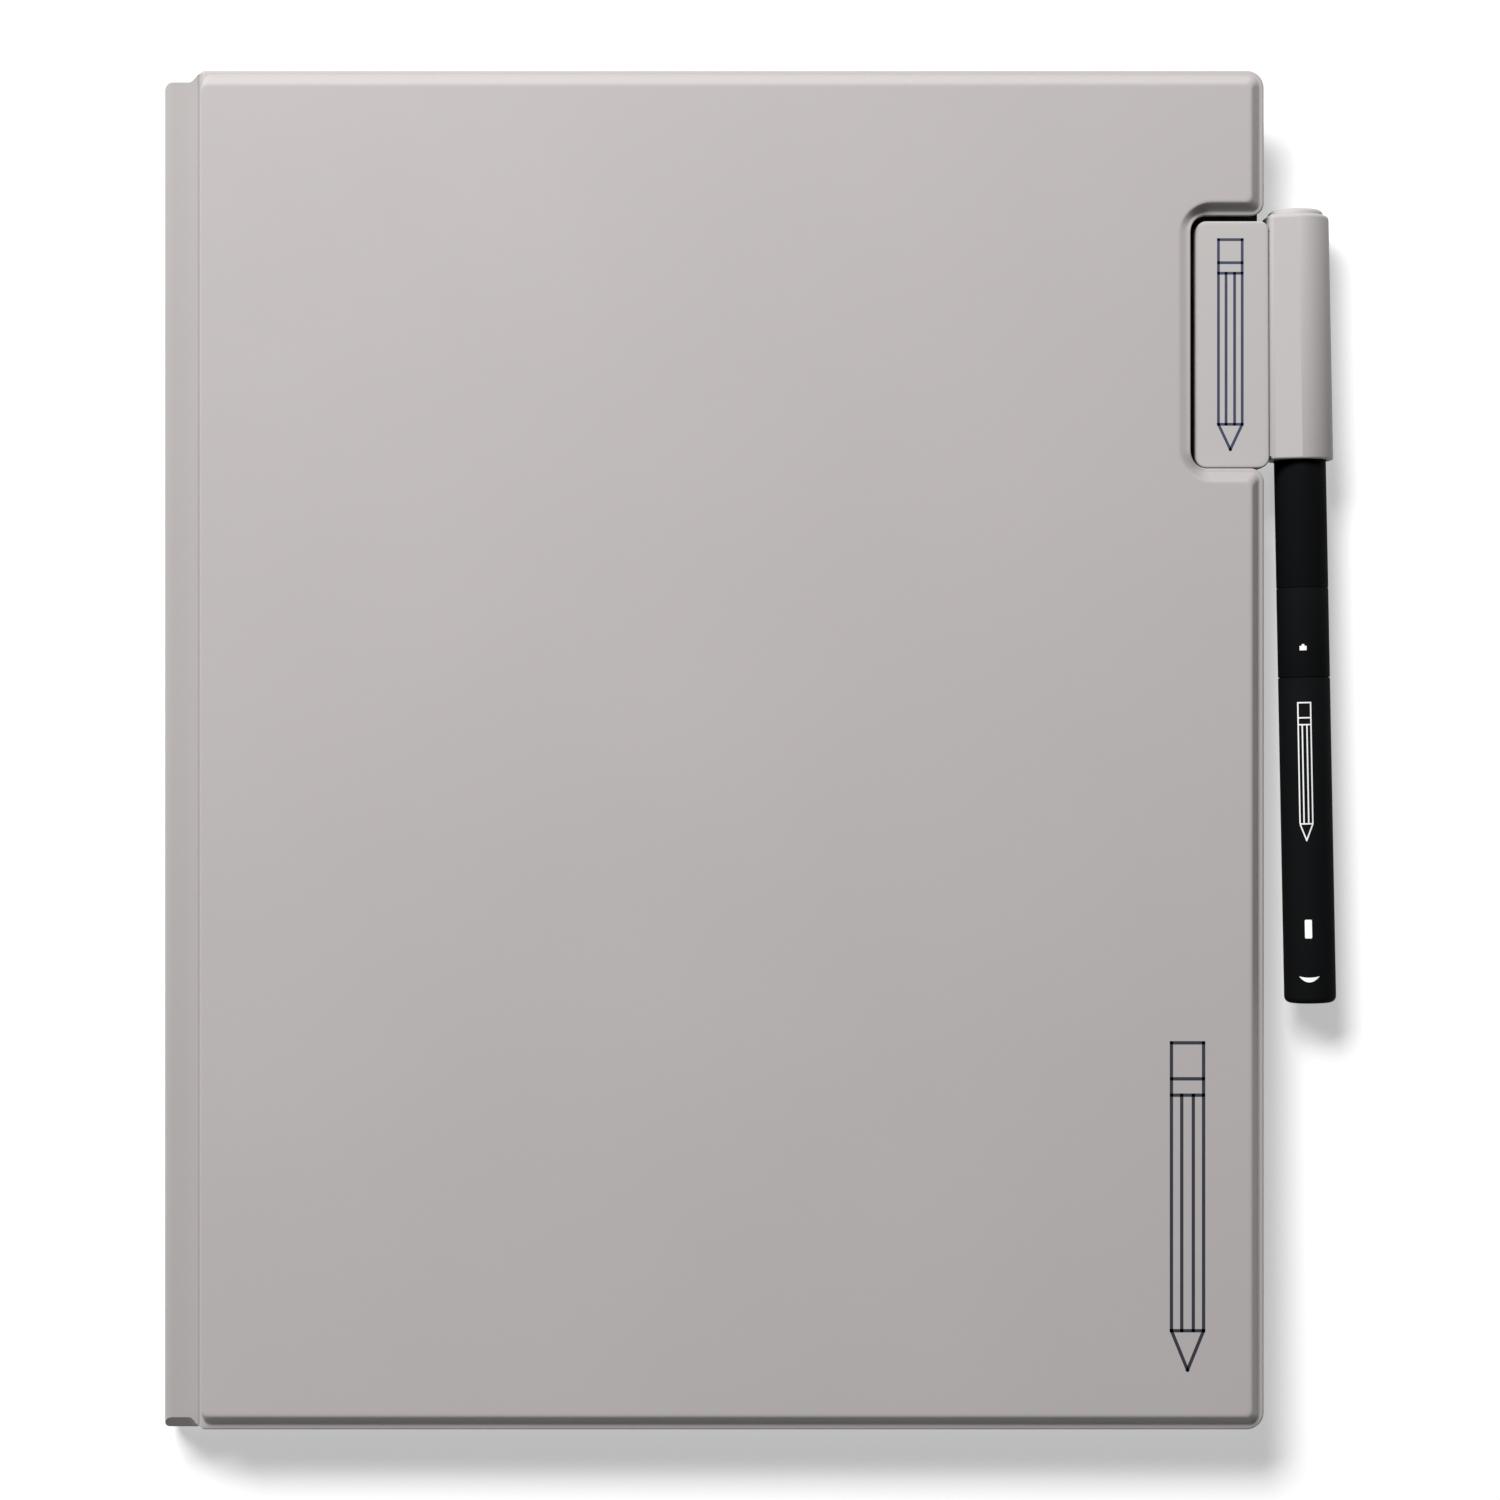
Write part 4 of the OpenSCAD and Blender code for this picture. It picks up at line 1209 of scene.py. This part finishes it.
def pen_mark():
    """A pencil printed along the pen's rear barrel."""
    middle = middle_on_pen("rear_window") + 28.6 * MM

    def place(u, v, lift):
        return HOLDER @ on_pen(u, v + middle, lift - PRINT_SINK)

    skin = mark_mesh(*PEN_MARK, place, 0.04 * MM)
    return piece("pen_pencil", skin, "pen_rear", "white_inlay", (), 30, PRINT_WHITE)


cover_at = (front_high.x - 14.1 * MM, front_low.y + 40.7 * MM, front_high.z)
tab_at = ((tab_low.x + TAB_EDGE_TOP) / 2 - 0.3 * MM, (tab_low.y + tab_high.y) / 2, tab_high.z)
flat_mark("cover_pencil", cover_at, COVER_MARK, PRINT_DARK, "front_cover", "soft_skin")
flat_mark("tab_pencil", tab_at, TAB_MARK, PRINT_NAVY, "tab", "tab_skin")
pen_mark()


# ---- linings and pocket

def flat_size(ring):
    """Width and length of a flat outline."""
    return [max(p[i] for p in ring) - min(p[i] for p in ring) for i in (0, 1)]


def lining(name, node, corners, radii, shares, edge, body, board):
    """A sheet of cloth laid over a cover's board, which stops a distance edge inside the outline."""
    low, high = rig.box(node)
    levels = [(edge + 0.15 * MM, low.z), (edge, low.z + 0.1 * MM),
              (edge, high.z - 0.1 * MM), (edge + 0.1 * MM, high.z)]
    rings = layered(corners, radii, shares, levels, 8)
    cloth = piece(name, chain(rings), body, "lining", [node])
    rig.sheet(cloth, flat=flat_size(rings[1]), held="laid", rests_on=[board])


def stitch(start, along, z, length, radius):
    """One raised thread stitch, thickest at its middle."""
    side = Vector((-along.y, along.x))
    rings = []
    for t, swell in ((0.0, 0.35), (0.18, 0.85), (0.5, 1.0), (0.82, 0.85), (1.0, 0.35)):
        c = start + along * (length * t)
        ring = []
        for a in turns(6):
            p = c + side * (radius * swell * math.cos(a))
            ring.append(Vector((p.x, p.y, z + radius * 0.5 * swell * math.sin(a))))
        rings.append(ring)
    return chain(rings)


def stitches(name, path, z, length, pitch, radius, body):
    """A row of short stitches along a closed path of 2-D points."""
    verts, faces = [], []
    carried = 0.0
    for a, b in zip(path, path[1:] + path[:1]):
        edge = b - a
        if edge.length < 1e-6:
            continue
        along = edge.normalized()
        d = carried
        while d + length < edge.length:
            add_skin(verts, faces, stitch(a + along * d, along, z, length, radius))
            d += pitch
        carried = max(0.0, d - edge.length)
    return piece(name, (verts, faces), body, "lining", (), 80, THREAD)


lining("cover_lining", "front_lining", FRONT_CORNERS, FRONT_RADII, STEP_SHARE, 0.6 * MM,
       "front_cover", "front_board")
lining("tray_lining", "back_lining", BACK_CORNERS, BACK_RADII, [1] * 4, 2.4 * MM, "tray", "back_board")

front_lining_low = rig.box("front_lining")[0]
stitch_path = outline(FRONT_CORNERS, FRONT_RADII, [1] * 8, 3.2 * MM, 6)
stitches("lining_stitches", stitch_path, front_lining_low.z, 2.0 * MM, 3.0 * MM, 0.22 * MM, "front_cover")


def pocket_panel():
    """The document pocket's cloth, laid on the cover's lining."""
    low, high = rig.box("document_pocket")
    corners = rectangle(low, high)
    levels = [(0.9 * MM, high.z), (0.0, high.z - 0.08 * MM), (0.0, low.z + 0.06 * MM), (0.15 * MM, low.z),
              (2.0 * MM, low.z), (2.3 * MM, low.z + 0.07 * MM)]
    rings = layered(corners, [2.5 * MM] * 4, [1] * 4, levels, 6)
    panel = piece("pocket_panel", chain(rings), "front_cover", "lining", ["document_pocket"])
    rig.sheet(panel, flat=flat_size(rings[1]), held="laid", rests_on=["cover_lining"])


pocket_panel()


# ---- slab and pad

def button_ring():
    """A bright bezel let into the top plate round the record button."""
    low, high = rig.box("record_button")
    centre = (low + high) / 2
    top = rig.box("top_plate")[1].z
    r_in, r_out = 4.72 * MM, 5.5 * MM
    foot, wall, crown = top - 0.1 * MM, top + 0.03 * MM, top + 0.1 * MM
    profile = [(r_in, foot), (r_out, foot), (r_out, wall), (r_out - 0.12 * MM, crown),
               (r_in + 0.1 * MM, crown), (r_in, wall)]
    rings = []
    for a in turns(64):
        ray = Vector((math.cos(a), math.sin(a)))
        rings.append([Vector((centre.x + r * ray.x, centre.y + r * ray.y, z)) for r, z in profile])
    piece("button_bezel", closed_chain(rings), "tray", "steel", (), 35)


def paper_block():
    """The pad's sheets: leaves that don't quite line up, and a ruled top leaf."""
    low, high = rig.box("pad_sheets")
    leaves = 16
    step = (high.z - low.z) / leaves
    levels = []
    for i in range(leaves):
        inset = 0.04 * MM + 0.1 * MM * rng.random()
        for share, extra in ((0.0, 0.05 * MM), (0.25, 0.0), (0.9, 0.0)):
            levels.append((inset + extra, low.z + (i + share) * step))
    levels.append((0.12 * MM, high.z))
    rings = layered(rectangle(low, high), [3.0 * MM] * 4, [1] * 4, levels, 5)
    block = piece("paper_block", chain(rings), "pad", "paper", ["pad_sheets"], 30)
    block.data.materials.append(RULED_PAPER)
    for face in block.data.polygons:
        if face.normal.z > 0.9 and face.center.z > high.z - 0.01 * MM:
            face.material_index = 1


softened("top_plate", "top_plastic", 0.3 * MM, "tray", 3)
softened("rear_housing", "dark_plastic", 0.25 * MM, "tray")
softened("dock_plate", "steel", 0.15 * MM, "tray")
softened("pad_clip", "steel", 0.12 * MM, "tray")
softened("usb_socket", "steel", 0.06 * MM, "tray")
softened("record_button", "button", 0.22 * MM, "button", 3)
button_ring()
paper_block()
softened("pad_card", "card", 0.08 * MM, "pad")
softened("pad_binding", "binding", 0.08 * MM, "pad")


# ---- finishes for the CAD nodes

node_slots = {s["node"]: s["material_slot"] for s in frame["record"]["subparts"]}
for name, obj in NODES.items():
    obj.data.materials.clear()
    obj.data.materials.append(LOOKS[node_slots[name]])


# ---- stage

def area_light(name, place, size, power):
    """A soft rectangular light that points at the middle of the object's base."""
    light = bpy.data.lights.new(name, "AREA")
    light.shape = "RECTANGLE"
    light.size, light.size_y = size
    light.energy = power
    obj = add_object(name, light)
    obj.location = place
    obj.rotation_euler = (-Vector(place)).to_track_quat("-Z", "Y").to_euler()


def stage():
    """A white floor just under the object, a faint all-round light, and one key from the page's top."""
    side, z = 3.0, -0.02 * MM
    verts = [(-side, -side, z), (side, -side, z), (side, side, z), (-side, side, z)]
    mesh = bpy.data.meshes.new("floor")
    mesh.from_pydata(verts, [], [(0, 1, 2, 3)])
    floor = add_object("floor", mesh)
    f = Finish("white_paper_floor", (0.6, 0.6, 0.6), 0.9, Specular_IOR_Level=0.05)
    f.bump(f.noise(0.004, 2.0), 0.00002, 0.2)
    f.shader.inputs["Emission Color"].default_value = (1, 1, 1, 1)
    f.shader.inputs["Emission Strength"].default_value = 0.47
    f.clear_from_behind()
    mesh.materials.append(f.material)
    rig.stage(floor)

    world = bpy.data.worlds.new("studio")
    world.use_nodes = True
    world.node_tree.nodes["Background"].inputs["Color"].default_value = (1, 1, 1, 1)
    world.node_tree.nodes["Background"].inputs["Strength"].default_value = 0.045
    bpy.context.scene.world = world

    area_light("key_top", (-0.48, 0.92, 1.12), (0.75, 0.5), 38.8)


def camera():
    """Straight down over the middle of the cover."""
    height, lens, sensor = 0.622, 80.66, 36.0
    data = bpy.data.cameras.new("camera")
    data.sensor_width = sensor
    data.lens = lens
    data.clip_start = 0.01
    obj = add_object("camera", data)
    obj.location = (0, (front_low.y + front_high.y) / 2, height)
    obj.rotation_euler = (0, 0, 0)
    bpy.context.scene.camera = obj


stage()
camera()
bpy.context.scene.view_settings.view_transform = "Standard"
bpy.context.scene.view_settings.look = "None"

with open("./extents.json", "w") as out:
    json.dump({"cad": [list(p) for p in cad_box], "visual": [list(p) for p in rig.bounds()]}, out)
